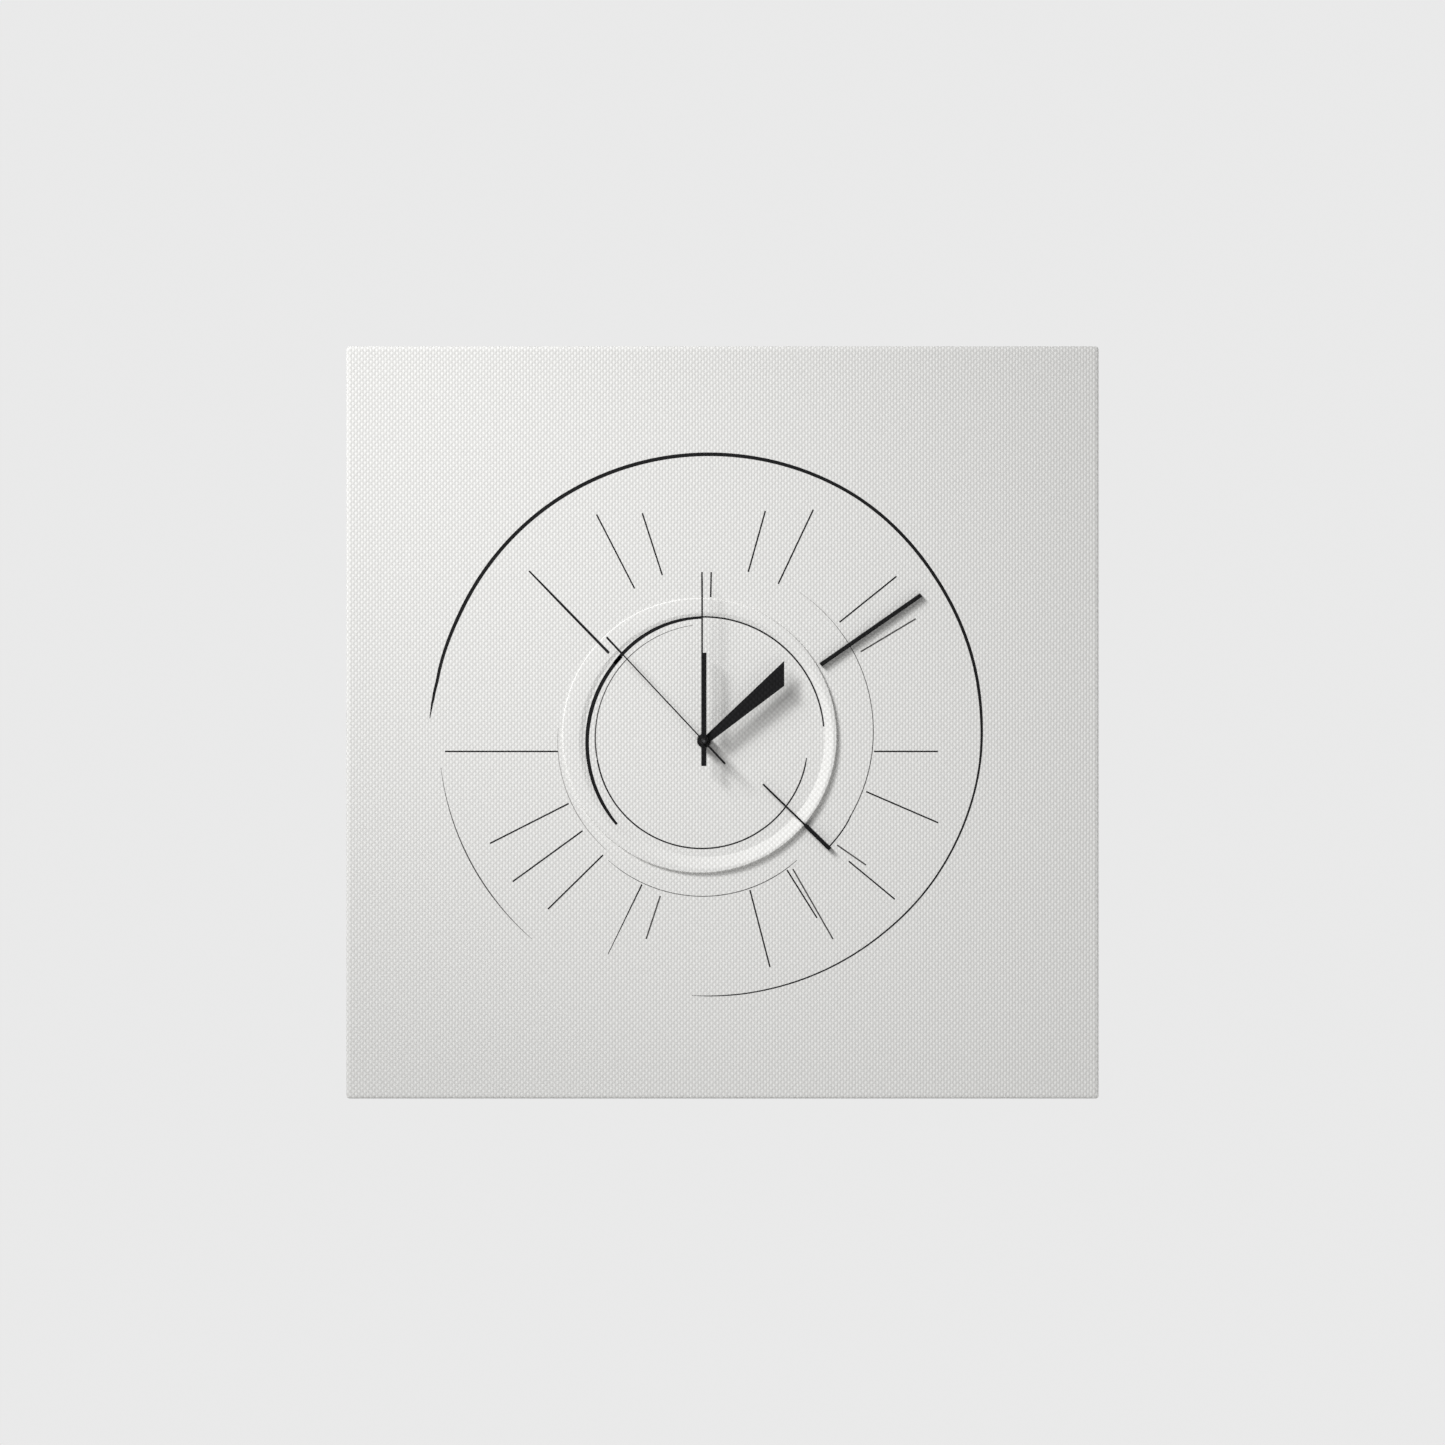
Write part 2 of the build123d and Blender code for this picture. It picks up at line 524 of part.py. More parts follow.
with BuildPart() as movement_case:
    with BuildSketch(works(0)):
        RectangleRounded(CASE_SIDE, CASE_SIDE, 3.0)
    extrude(amount=CASE_D)
    with BuildSketch(works(FLOOR)):
        with Locations((0, (INSIDE + CHAMBER_LOW) / 2)):
            RectangleRounded(2 * INSIDE, INSIDE - CHAMBER_LOW, 1.5)
    extrude(amount=CASE_D - FLOOR, mode=Mode.SUBTRACT)
    with BuildSketch(works(0)):
        with Locations((0, BAY_MIDDLE)):
            Rectangle(2 * INSIDE, BAY_W)
    extrude(amount=CASE_D, mode=Mode.SUBTRACT)
    for place in BOSSES:
        tube(works(FLOOR, *place), CASE_D - FLOOR, BOSS_R)
    for place in STATOR_POSTS:
        tube(works(FLOOR, *place), STATOR_LOW - FLOOR, 1.2)
    for place in BOARD_POSTS:
        tube(works(FLOOR, *place), CIRCUIT_LOW - FLOOR, 1.4)
    tube(works(FLOOR, *ROTOR), 8.2, STUD_R)
    tube(works(FLOOR, *STEP), 4.4, STUD_R)
    for place, radius in ((MAIN, ARBOR_R), (THIRD, THIRD_PIVOT_R)):
        with BuildSketch(works(FLOOR - PIVOT_DEPTH, *place)):
            Circle(radius + PIVOT_GAP)
        extrude(amount=PIVOT_DEPTH, mode=Mode.SUBTRACT)
    with BuildSketch(works(0, *SETTING)):
        Circle(SETTING_SHAFT_R + PIVOT_GAP)
    extrude(amount=FLOOR, mode=Mode.SUBTRACT)
    for place in BOSSES:
        with BuildSketch(works(CASE_D - CASE_SCREW_L + PLATE_T, *place)):
            Circle(BOSS_HOLE_R)
        extrude(amount=CASE_SCREW_L, mode=Mode.SUBTRACT)
    with BuildSketch(works(CONTACT_TAB[0])):        # slots that let the contact tabs into the chamber
        with GridLocations(2 * INSIDE - CONTACT_T, 1, 2, 1):
            with Locations((0, (CHAMBER_LOW + BAY_HIGH) / 2 + 1.0)):
                Rectangle(CONTACT_T, CHAMBER_LOW - BAY_HIGH + 2.0)
    extrude(amount=CONTACT_TAB[1], mode=Mode.SUBTRACT)
save(movement_case, "movement_case")

with BuildPart() as movement_front_plate:
    with BuildSketch(works(CASE_D)):
        RectangleRounded(CASE_SIDE, CASE_SIDE, 3.0)
        Circle(BUSH_R, mode=Mode.SUBTRACT)
        with Locations(*BOSSES):
            Circle(BOSS_HOLE_R, mode=Mode.SUBTRACT)
    extrude(amount=PLATE_T)
    tube(works(9.4, *MINUTE), CASE_D - 9.4, MINUTE_STUD_R)
    tube(works(11.3, *SETTING), CASE_D - 11.3, 2.2)
    with BuildSketch(works(11.3, *SETTING)):
        Circle(NOSE_R + PIVOT_GAP)
    extrude(amount=2.0, mode=Mode.SUBTRACT)
    with BuildSketch(works(CASE_D, *THIRD)):
        Circle(THIRD_PIVOT_R + PIVOT_GAP)
    extrude(amount=PIVOT_DEPTH, mode=Mode.SUBTRACT)
save(movement_front_plate, "movement_front_plate")

with BuildPart() as case_screws:
    for place in BOSSES:
        tube(works(CASE_D + PLATE_T, *place), CASE_SCREW_HEAD_T, CASE_SCREW_HEAD_R)
        tube(works(CASE_D + PLATE_T - CASE_SCREW_L, *place), CASE_SCREW_L, BOSS_HOLE_R)
save(case_screws, "case_screws")

# ---- step motor ---------------------------------------------------------------------------------------
STATOR_REACH, STATOR_ARM, STATOR_HOLE_R, STATOR_RING_R = 12.0, 3.0, 3.4, 4.7
COIL_Y = ROTOR[1] + 8.4
CORE_T, CORE_W = 0.8, 2.5
COIL_AXIS = STATOR_LOW + STATOR_T + CORE_T / 2
BOBBIN_L, BOBBIN_FLANGE_T, BOBBIN_FLANGE_R, BOBBIN_R, WINDING_R = 17.4, 0.8, 3.9, 1.9, 3.4

with BuildPart() as stator:
    with BuildSketch(works(STATOR_LOW, *ROTOR)):
        Rectangle(2 * STATOR_REACH, 4.4)
        Circle(STATOR_RING_R)
        for side in (-1, 1):
            with Locations((side * (STATOR_REACH - STATOR_ARM / 2), (COIL_Y - ROTOR[1]) / 2)):
                Rectangle(STATOR_ARM, COIL_Y - ROTOR[1] + CORE_W + 1)
        Circle(STATOR_HOLE_R, mode=Mode.SUBTRACT)
    extrude(amount=STATOR_T)
save(stator, "stator")

with BuildPart() as coil_core:
    with BuildSketch(works(STATOR_LOW + STATOR_T, ROTOR[0], COIL_Y)):
        Rectangle(2 * STATOR_REACH, CORE_W)
    extrude(amount=CORE_T)
save(coil_core, "coil_core")


def coil_plane(x):
    """Plane across the coil, x along it from its middle."""
    return Plane(origin=(DIAL_X + ROTOR[0] + x, -(CASE_BACK + COIL_AXIS), DIAL_Z + COIL_Y),
                 x_dir=(0, 1, 0), z_dir=(1, 0, 0))


with BuildPart() as coil_bobbin:
    for start, length, radius in ((-BOBBIN_L / 2, BOBBIN_FLANGE_T, BOBBIN_FLANGE_R),
                                  (-BOBBIN_L / 2 + BOBBIN_FLANGE_T, BOBBIN_L - 2 * BOBBIN_FLANGE_T, BOBBIN_R),
                                  (BOBBIN_L / 2 - BOBBIN_FLANGE_T, BOBBIN_FLANGE_T, BOBBIN_FLANGE_R)):
        with BuildSketch(coil_plane(start)):
            Circle(radius)
        extrude(amount=length)
    with BuildSketch(coil_plane(-BOBBIN_L / 2)):
        Rectangle(CORE_T, CORE_W)
    extrude(amount=BOBBIN_L, mode=Mode.SUBTRACT)
save(coil_bobbin, "coil_bobbin")

with BuildPart() as coil_winding:
    with BuildSketch(coil_plane(-BOBBIN_L / 2 + BOBBIN_FLANGE_T)):
        Circle(WINDING_R)
        Circle(BOBBIN_R, mode=Mode.SUBTRACT)
    extrude(amount=BOBBIN_L - 2 * BOBBIN_FLANGE_T)
save(coil_winding, "coil_winding")

# ---- circuit ------------------------------------------------------------------------------------------
CIRCUIT_X, CIRCUIT_Y = (-25.8, -9.5), (16.2, 26.2)
CRYSTAL_R, CRYSTAL_L = 1.0, 6.0
BLOB_R, BLOB_T = 2.4, 1.2

with BuildPart() as circuit_board:
    with BuildSketch(works(CIRCUIT_LOW)):
        with Locations((sum(CIRCUIT_X) / 2, sum(CIRCUIT_Y) / 2)):
            Rectangle(CIRCUIT_X[1] - CIRCUIT_X[0], CIRCUIT_Y[1] - CIRCUIT_Y[0])
        with Locations((-24.5, 24.5)):              # notch for the corner boss
            Rectangle(6.6, 6.6, mode=Mode.SUBTRACT)
    extrude(amount=CIRCUIT_T)
save(circuit_board, "circuit_board")

with BuildPart() as quartz_crystal:
    crystal_z = CASE_BACK + CIRCUIT_LOW + CIRCUIT_T + CRYSTAL_R
    with BuildSketch(Plane(origin=(DIAL_X - 18.5, -crystal_z, DIAL_Z + 18.6), x_dir=(0, 1, 0), z_dir=(1, 0, 0))):
        Circle(CRYSTAL_R)
    extrude(amount=CRYSTAL_L)
save(quartz_crystal, "quartz_crystal")

with BuildPart() as chip_blob:
    tube(works(CIRCUIT_LOW + CIRCUIT_T, -15.0, 22.6), BLOB_T, BLOB_R)
    fillet(chip_blob.faces().sort_by(Axis.Y)[0].edges(), 0.8)
save(chip_blob, "chip_blob")

# ---- battery and its contacts -------------------------------------------------------------------------
CELL_R, CELL_L, NUB_R, NUB_L, CELL_AXIS = 7.1, 50.5, 2.75, 1.0, 7.0
CELL_RIGHT = INSIDE - CONTACT_T - 0.1               # the nub's tip, just clear of its contact
SPRING_GAP = 0.15
SPRING_WIRE_R, SPRING_TURNS = 0.3, 2


def bay_plane(x):
    """Plane across the battery bay, x along it from the hands' axis."""
    return Plane(origin=(DIAL_X + x, -(CASE_BACK + CELL_AXIS), DIAL_Z + BAY_MIDDLE),
                 x_dir=(0, 1, 0), z_dir=(1, 0, 0))


with BuildPart() as battery_cell:
    with BuildSketch(bay_plane(CELL_RIGHT - CELL_L)):
        Circle(CELL_R)
    extrude(amount=CELL_L - NUB_L)
    fillet(battery_cell.edges().filter_by(GeomType.CIRCLE), 0.6)
    with BuildSketch(bay_plane(CELL_RIGHT - NUB_L)):
        Circle(NUB_R)
    extrude(amount=NUB_L)
save(battery_cell, "battery_cell")

CONTACT_W, CONTACT_H = 9.0, 10.0
for name, side in (("positive_contact", 1), ("negative_contact", -1)):
    with BuildPart() as contact:
        edge = side * INSIDE
        with BuildSketch(bay_plane(min(edge, edge - side * CONTACT_T))):
            Rectangle(CONTACT_H, CONTACT_W)
        extrude(amount=CONTACT_T)
        with BuildSketch(works(CONTACT_TAB[0] + 0.25)):
            with Locations((edge - side * CONTACT_T / 2, (BAY_MIDDLE + CHAMBER_LOW + 3) / 2)):
                Rectangle(CONTACT_T, CHAMBER_LOW + 3 - BAY_MIDDLE)
        extrude(amount=CONTACT_TAB[1] - 0.5)
    save(contact, name)

with BuildPart() as battery_spring:                 # a cone of wire between the cell and its contact
    spring_low = -INSIDE + CONTACT_T + SPRING_WIRE_R
    spring_high = CELL_RIGHT - CELL_L - SPRING_GAP - SPRING_WIRE_R
    with BuildLine():
        wire = Helix(pitch=(spring_high - spring_low) / SPRING_TURNS, height=spring_high - spring_low,
                     radius=4.0, center=(DIAL_X + spring_low, -(CASE_BACK + CELL_AXIS), DIAL_Z + BAY_MIDDLE),
                     direction=(1, 0, 0), cone_angle=0)
    with BuildSketch(Plane(origin=wire @ 0, z_dir=wire % 0)):
        Circle(SPRING_WIRE_R)
    sweep(is_frenet=True)
save(battery_spring, "battery_spring")

# ---- hands --------------------------------------------------------------------------------------------
HOUR_HUB_R, MINUTE_HUB_R, SECOND_BOSS_R = 3.4, 2.5, 1.6
HOUR_ROOT = ((1.7, 3.7), (4.4, 0.4))                # where the blade's two edges leave the hub
HOUR_TIP = ((43.2, 43.2), (43.2, 29.7))             # the tip is cut off upright, at the rest pose
MINUTE_W, MINUTE_BAR, MINUTE_TAIL = 2.8, 47.5, 13.4
NEEDLE_W, MINUTE_REACH = 0.9, 87.0
SECOND_W, SECOND_TIP_W, SECOND_TIP_FROM, SECOND_REACH, SECOND_TAIL = 0.7, 1.1, 64.0, 76.4, 16.8
SECOND_ANGLE = 43.1                                 # the second hand leans this far left of twelve

with BuildPart() as hour_hand:
    with BuildSketch(dial(HOUR_H)):
        with BuildLine():
            Polyline((0, 0), HOUR_ROOT[0], HOUR_TIP[0], HOUR_TIP[1], HOUR_ROOT[1], close=True)
        make_face()
        Circle(HOUR_HUB_R)
        Circle(HOUR_PIPE_R, mode=Mode.SUBTRACT)
    extrude(amount=HAND_T)
    tube(dial(HOUR_H - 0.6), 0.6, HOUR_HUB_R, HOUR_PIPE_R)
save(hour_hand, "hour_hand")

with BuildPart() as minute_hand:    # a bar with a needle that carries its left edge on
    with BuildSketch(dial(MINUTE_H)):
        with Locations((0, (MINUTE_BAR - MINUTE_TAIL) / 2)):
            Rectangle(MINUTE_W, MINUTE_BAR + MINUTE_TAIL)
        with Locations(((NEEDLE_W - MINUTE_W) / 2, (MINUTE_BAR + MINUTE_REACH) / 2)):
            Rectangle(NEEDLE_W, MINUTE_REACH - MINUTE_BAR)
        Circle(MINUTE_HUB_R)
        Circle(MINUTE_PIPE_R, mode=Mode.SUBTRACT)
    extrude(amount=HAND_T)
    tube(dial(MINUTE_H - 0.6), 0.6, MINUTE_HUB_R, MINUTE_PIPE_R)
save(minute_hand, "minute_hand")

with BuildPart() as second_hand:
    tube(dial(SECOND_H - 0.8), 2.2, SECOND_BOSS_R)
    fillet(second_hand.faces().sort_by(Axis.Y)[0].edges(), 0.5)
    with BuildSketch(turned(dial(SECOND_H), SECOND_ANGLE)):
        with Locations((0, (SECOND_REACH - SECOND_TAIL) / 2)):
            Rectangle(SECOND_W, SECOND_REACH + SECOND_TAIL)
        with Locations((0, (SECOND_REACH + SECOND_TIP_FROM) / 2)):
            Rectangle(SECOND_TIP_W, SECOND_REACH - SECOND_TIP_FROM)
        with Locations((0, -SECOND_TAIL / 2)):
            Rectangle(SECOND_TIP_W, SECOND_TAIL)
    extrude(amount=HAND_T * 0.8)
    with BuildSketch(dial(SECOND_H - 0.8)):
        Circle(ARBOR_R)
    extrude(amount=SECOND_TOP - SECOND_H + 0.8, mode=Mode.SUBTRACT)
save(second_hand, "second_hand")
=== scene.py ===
import json
import math
import random

import bpy
from mathutils import Matrix, Vector
from mathutils.bvhtree import BVHTree


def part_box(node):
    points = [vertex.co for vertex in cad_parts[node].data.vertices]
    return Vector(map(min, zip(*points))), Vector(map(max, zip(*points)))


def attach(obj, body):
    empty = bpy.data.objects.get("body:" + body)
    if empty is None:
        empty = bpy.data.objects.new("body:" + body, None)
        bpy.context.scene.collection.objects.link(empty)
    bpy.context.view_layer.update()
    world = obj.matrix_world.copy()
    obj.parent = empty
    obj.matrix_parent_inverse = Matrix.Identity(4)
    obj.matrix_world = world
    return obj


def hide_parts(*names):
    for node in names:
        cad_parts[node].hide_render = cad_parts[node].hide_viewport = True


# Canvas wall clock. Metres in the row frame: +Z up, the face looks along -Y, the wall is Y = 0.
# Layout numbers on the face are millimetres from the hands' axis, x to the right and z up.

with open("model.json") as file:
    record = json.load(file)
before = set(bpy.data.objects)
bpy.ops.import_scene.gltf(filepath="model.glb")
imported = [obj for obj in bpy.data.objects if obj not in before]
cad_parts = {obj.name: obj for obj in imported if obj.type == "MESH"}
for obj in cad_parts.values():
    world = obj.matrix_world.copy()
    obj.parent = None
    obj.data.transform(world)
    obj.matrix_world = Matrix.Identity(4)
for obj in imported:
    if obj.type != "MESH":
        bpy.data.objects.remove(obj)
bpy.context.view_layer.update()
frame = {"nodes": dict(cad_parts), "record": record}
scene = bpy.context.scene
random.seed(16)

MM = 0.001
canvas_low, canvas_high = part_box("canvas_cover")
SIDE = canvas_high.x - canvas_low.x
CENTRE = (canvas_low + canvas_high) / 2
FACE_Y, FOLD_Y = canvas_low.y, canvas_high.y
turn = next(joint for joint in frame["record"]["behaviour"]["joints"] if joint["name"] == "second_hand_turn")
AXIS_X, AXIS_Z = turn["pos_m"][0], turn["pos_m"][2]
BODY = "clock_body"


# ---- camera -------------------------------------------------------------------------------------------
FRAME_SHARE = 0.521                 # the canvas takes this share of the picture's width
LENS, SENSOR = 100.0, 36.0          # mm
REACH = LENS / SENSOR * SIDE / FRAME_SHARE
camera_data = bpy.data.cameras.new("camera")
camera_data.lens, camera_data.sensor_width = LENS, SENSOR
camera_data.clip_end = 50
camera = bpy.data.objects.new("camera", camera_data)
camera.location = (CENTRE.x, FACE_Y - REACH, CENTRE.z)
camera.rotation_euler = (math.radians(90), 0, 0)
scene.collection.objects.link(camera)
scene.camera = camera


# ---- helpers for finishes -----------------------------------------------------------------------------
def colour(hex_code, alpha=1.0):
    """sRGB hex to linear."""
    channels = [int(hex_code[i:i + 2], 16) / 255 for i in (1, 3, 5)]
    return (*[c / 12.92 if c <= 0.04045 else ((c + 0.055) / 1.055) ** 2.4 for c in channels], alpha)


def add(tree, kind, links=None, **settings):
    """Adds a node. links gives its inputs a value or another node's output."""
    made = tree.nodes.new(kind)
    for name, value in settings.items():
        setattr(made, name, value)
    for key, value in (links or {}).items():
        if isinstance(value, bpy.types.NodeSocket):
            tree.links.new(value, made.inputs[key])
        else:
            made.inputs[key].default_value = value
    return made.outputs[0] if made.outputs else made


def finish(name, **constants):
    """A new material and its surface shader, with the constants set on the shader's own sockets."""
    material = bpy.data.materials.new(name)
    material.use_nodes = True
    shader = material.node_tree.nodes["Principled BSDF"]
    for key, value in constants.items():
        shader.inputs[key.replace("_", " ")].default_value = value
    return material, material.node_tree, shader


def place_of(tree):
    """The point on the piece, in metres."""
    return tree.nodes.new("ShaderNodeTexCoord").outputs["Object"]


def ramp(tree, factor, *stops):
    """Colours between stops of (position, hex)."""
    made = tree.nodes.new("ShaderNodeValToRGB")
    tree.links.new(factor, made.inputs[0])
    points = made.color_ramp.elements
    while len(points) < len(stops):
        points.new(0.5)
    for point, (position, hex_code) in zip(points, stops):
        point.position, point.color = position, colour(hex_code)
    return made.outputs[0]


def raise_by(tree, shader, height, distance, strength=1.0):
    """Relief of this depth in metres where height goes from 0 to 1."""
    relief = add(tree, "ShaderNodeBump", {"Height": height, "Distance": distance, "Strength": strength})
    tree.links.new(relief, shader.inputs["Normal"])


# ---- canvas, primed and printed -----------------------------------------------------------------------
# Cotton duck under two coats of gesso. Real duck has a thread every 0.6 mm, drawn at 1.6 mm so that the
# crossings still show from two metres.
THREAD = 1.6 * MM
WEFT = 0.55                         # the weft lies this deep beside the warp's crowns


def weave(tree, place, across="X", along="Y"):
    """Plain weave, each thread over one and under the next: its height, and 1 on a crown to -1 beside it."""
    wander = add(tree, "ShaderNodeTexNoise", {"Vector": place, "Scale": 1 / 0.009, "Detail": 1.0})
    shift = add(tree, "ShaderNodeVectorMath", {0: wander, 1: (0.5, 0.5, 0.5)}, operation="SUBTRACT")
    pushed = add(tree, "ShaderNodeVectorMath", {0: shift, 1: (0.0006, 0.0006, 0.0006), 2: place},
                 operation="MULTIPLY_ADD")
    parts = tree.nodes.new("ShaderNodeSeparateXYZ")
    tree.links.new(pushed, parts.inputs[0])
    waves = []
    for part in (across, along):
        phase = add(tree, "ShaderNodeMath", {0: parts.outputs[part], 1: math.pi / THREAD},
                    operation="MULTIPLY")
        waves.append(add(tree, "ShaderNodeMath", {0: phase}, operation="SINE"))
    threads = []
    for own, other, over, size in ((waves[0], waves[1], 0.45, 1.0), (waves[1], waves[0], -0.45, WEFT)):
        round_back = add(tree, "ShaderNodeMath", {0: own}, operation="ABSOLUTE")
        side = add(tree, "ShaderNodeMath", {0: own}, operation="SIGN")
        lift = add(tree, "ShaderNodeMath", {0: side, 1: other}, operation="MULTIPLY")
        thread = add(tree, "ShaderNodeMath", {0: lift, 1: over, 2: round_back}, operation="MULTIPLY_ADD")
        threads.append(add(tree, "ShaderNodeMath", {0: thread, 1: size}, operation="MULTIPLY"))
    height = add(tree, "ShaderNodeMath", {0: threads[0], 1: threads[1], 2: 0.2}, operation="SMOOTH_MAX")
    crown_highlight_and_hollow_shade = add(tree, "ShaderNodeMath", {0: waves[0], 1: waves[1]}, operation="MULTIPLY")
    return height, crown_highlight_and_hollow_shade


def cloth_finish(name, light, dark, roughness, relief, sheen=0.0):
    """Anything on the cloth: its colour is lighter on the weave's crowns and darker in its hollows, a painted
    highlight and painted shade, mixed with random slub tone, and it has the weave's relief.
    """
    material, tree, shader = finish(name, Roughness=roughness, Specular_IOR_Level=0.2, Sheen_Weight=sheen)
    place = tree.nodes.new("ShaderNodeUVMap")
    place.uv_map = "cloth"
    height, crown_highlight_and_hollow_shade = weave(tree, place.outputs[0])
    slub = add(tree, "ShaderNodeTexNoise", {"Vector": place.outputs[0], "Scale": 1 / 0.004, "Detail": 2.0})
    uneven = add(tree, "ShaderNodeMath", {0: slub, 1: 0.2, 2: 0.4}, operation="MULTIPLY_ADD")
    # painted highlight on the thread crowns and painted shade in the hollows beside them, over random slub
    # tone
    tone = add(tree, "ShaderNodeMath", {0: crown_highlight_and_hollow_shade, 1: 0.4, 2: uneven}, operation="MULTIPLY_ADD")
    tree.links.new(ramp(tree, tone, (0.1, dark), (0.9, light)), shader.inputs["Base Color"])
    raise_by(tree, shader, height, relief)
    return material


primed_canvas = cloth_finish("primed_canvas", "#f8f8f6", "#dddcda", 0.85, 0.00014, 0.1)
# Pigment ink soaks into the gesso and stays matt. Like the gesso, it is coloured lighter on the weave's
# crowns and darker in its hollows: painted highlight and painted shade.
black_ink = cloth_finish("black_pigment_ink", "#1e1e20", "#0c0c0d", 0.7, 0.00012)
grey_ink = cloth_finish("grey_pigment_ink", "#5c5b5a", "#474645", 0.75, 0.00012)
faint_ink = cloth_finish("faint_pigment_ink", "#a9a7a5", "#918f8d", 0.8, 0.00012)


# ---- helpers for pieces -------------------------------------------------------------------------------
def piece(name, points, faces, material, flat=None, smooth=True, body=BODY):
    """A mesh piece that rides on a body. flat gives each vertex its place on the uncut cloth."""
    mesh = bpy.data.meshes.new(name)
    mesh.from_pydata(points, [], faces)
    if flat:
        layer = mesh.uv_layers.new(name="cloth")
        for loop in mesh.loops:
            layer.data[loop.index].uv = flat[loop.vertex_index]
    if smooth:
        mesh.shade_smooth()
    made = bpy.data.objects.new(name, mesh)
    scene.collection.objects.link(made)
    mesh.materials.append(material)
    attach(made, body)
    return made


def strip_faces(rows, columns, closed=False):
    """Quads between rows of points."""
    faces = []
    for row in range(rows - 1):
        for column in range(columns if closed else columns - 1):
            following = (column + 1) % columns
            faces.append((row * columns + column, row * columns + following,
                          (row + 1) * columns + following, (row + 1) * columns + column))
    return faces


def soften(made, width, angle=35, segments=2):
    """Rounds the sharp edges, as handling and moulding do."""
    weld = made.modifiers.new("weld", "WELD")
    weld.merge_threshold = 0.000002
    bevel = made.modifiers.new("soft edges", "BEVEL")
    bevel.width, bevel.segments = width, segments
    bevel.limit_method, bevel.angle_limit = "ANGLE", math.radians(angle)
    bevel.harden_normals = True


def dress(material, *names, edge=0.0):
    """Gives CAD nodes a finish, and soft edges if asked."""
    for name in names:
        node = frame["nodes"][name]
        node.data.materials.clear()
        node.data.materials.append(material)
        if edge:
            soften(node, edge)


# ---- the stretched canvas -----------------------------------------------------------------------------
# One cloth: flat over the face, round the edge, down the side, round the back and in to its raw edge.
EDGE_ROUND, BACK_ROUND, CORNER_ROUND = 1.8 * MM, 1.4 * MM, 1.8 * MM
TIGHT_ROUND = 0.05 * MM             # the least rounding at a corner, on the face and the back
TURN_IN = 26 * MM                   # from the outline to the raw edge, on the back
HOLE_R = 3.6 * MM                   # the hole cut for the bush
CLOTH_T = 0.55 * MM
SIDE_RIPPLE, BACK_RIPPLE = 0.35 * MM, 0.3 * MM      # how far the cloth stands off the bars
RIPPLES = 9                         # radians of ripple from a side's middle to its end
ROUND_STEPS, DEPTH_STEPS, BACK_STEPS = 6, 6, 8
CORNER_STEPS, FLAT_STEPS = 4, 44
SIDE_STEPS = FLAT_STEPS + 2 * CORNER_STEPS


def canvas_profile():
    """Rows of cloth from the face to the raw edge: (inset from the outline, depth y, cloth used so far)."""
    half = math.pi / 2
    steps = [(EDGE_ROUND, FACE_Y, 0.0)]
    for k in range(1, ROUND_STEPS + 1):
        angle = half * k / ROUND_STEPS
        steps.append((EDGE_ROUND * (1 - math.sin(angle)), FACE_Y + EDGE_ROUND * (1 - math.cos(angle)),
                      EDGE_ROUND * angle))
    run = EDGE_ROUND * half
    depth = FOLD_Y - BACK_ROUND - (FACE_Y + EDGE_ROUND)
    for k in range(1, DEPTH_STEPS + 1):
        share = k / DEPTH_STEPS
        steps.append((0.0, FACE_Y + EDGE_ROUND + depth * share, run + depth * share))
    run += depth
    for k in range(1, ROUND_STEPS + 1):
        angle = half * k / ROUND_STEPS
        steps.append((BACK_ROUND * (1 - math.cos(angle)), FOLD_Y - BACK_ROUND * (1 - math.sin(angle)),
                      run + BACK_ROUND * angle))
    run += BACK_ROUND * half
    for k in range(1, BACK_STEPS + 1):
        inset = BACK_ROUND + (TURN_IN - BACK_ROUND) * k / BACK_STEPS
        steps.append((inset, FOLD_Y, run + inset - BACK_ROUND))
    return steps


def along_side(step, reach, corner):
    """(along, out) of a step along one side of a square with rounded corners."""
    flat_end = reach - corner
    if CORNER_STEPS <= step <= SIDE_STEPS - CORNER_STEPS:
        return flat_end * (2 * (step - CORNER_STEPS) / FLAT_STEPS - 1), reach
    before = step < CORNER_STEPS
    left = CORNER_STEPS - step if before else step - SIDE_STEPS + CORNER_STEPS
    angle = math.pi / 4 * left / CORNER_STEPS
    along = flat_end + corner * math.sin(angle)
    return (-along if before else along), flat_end + corner * math.cos(angle)


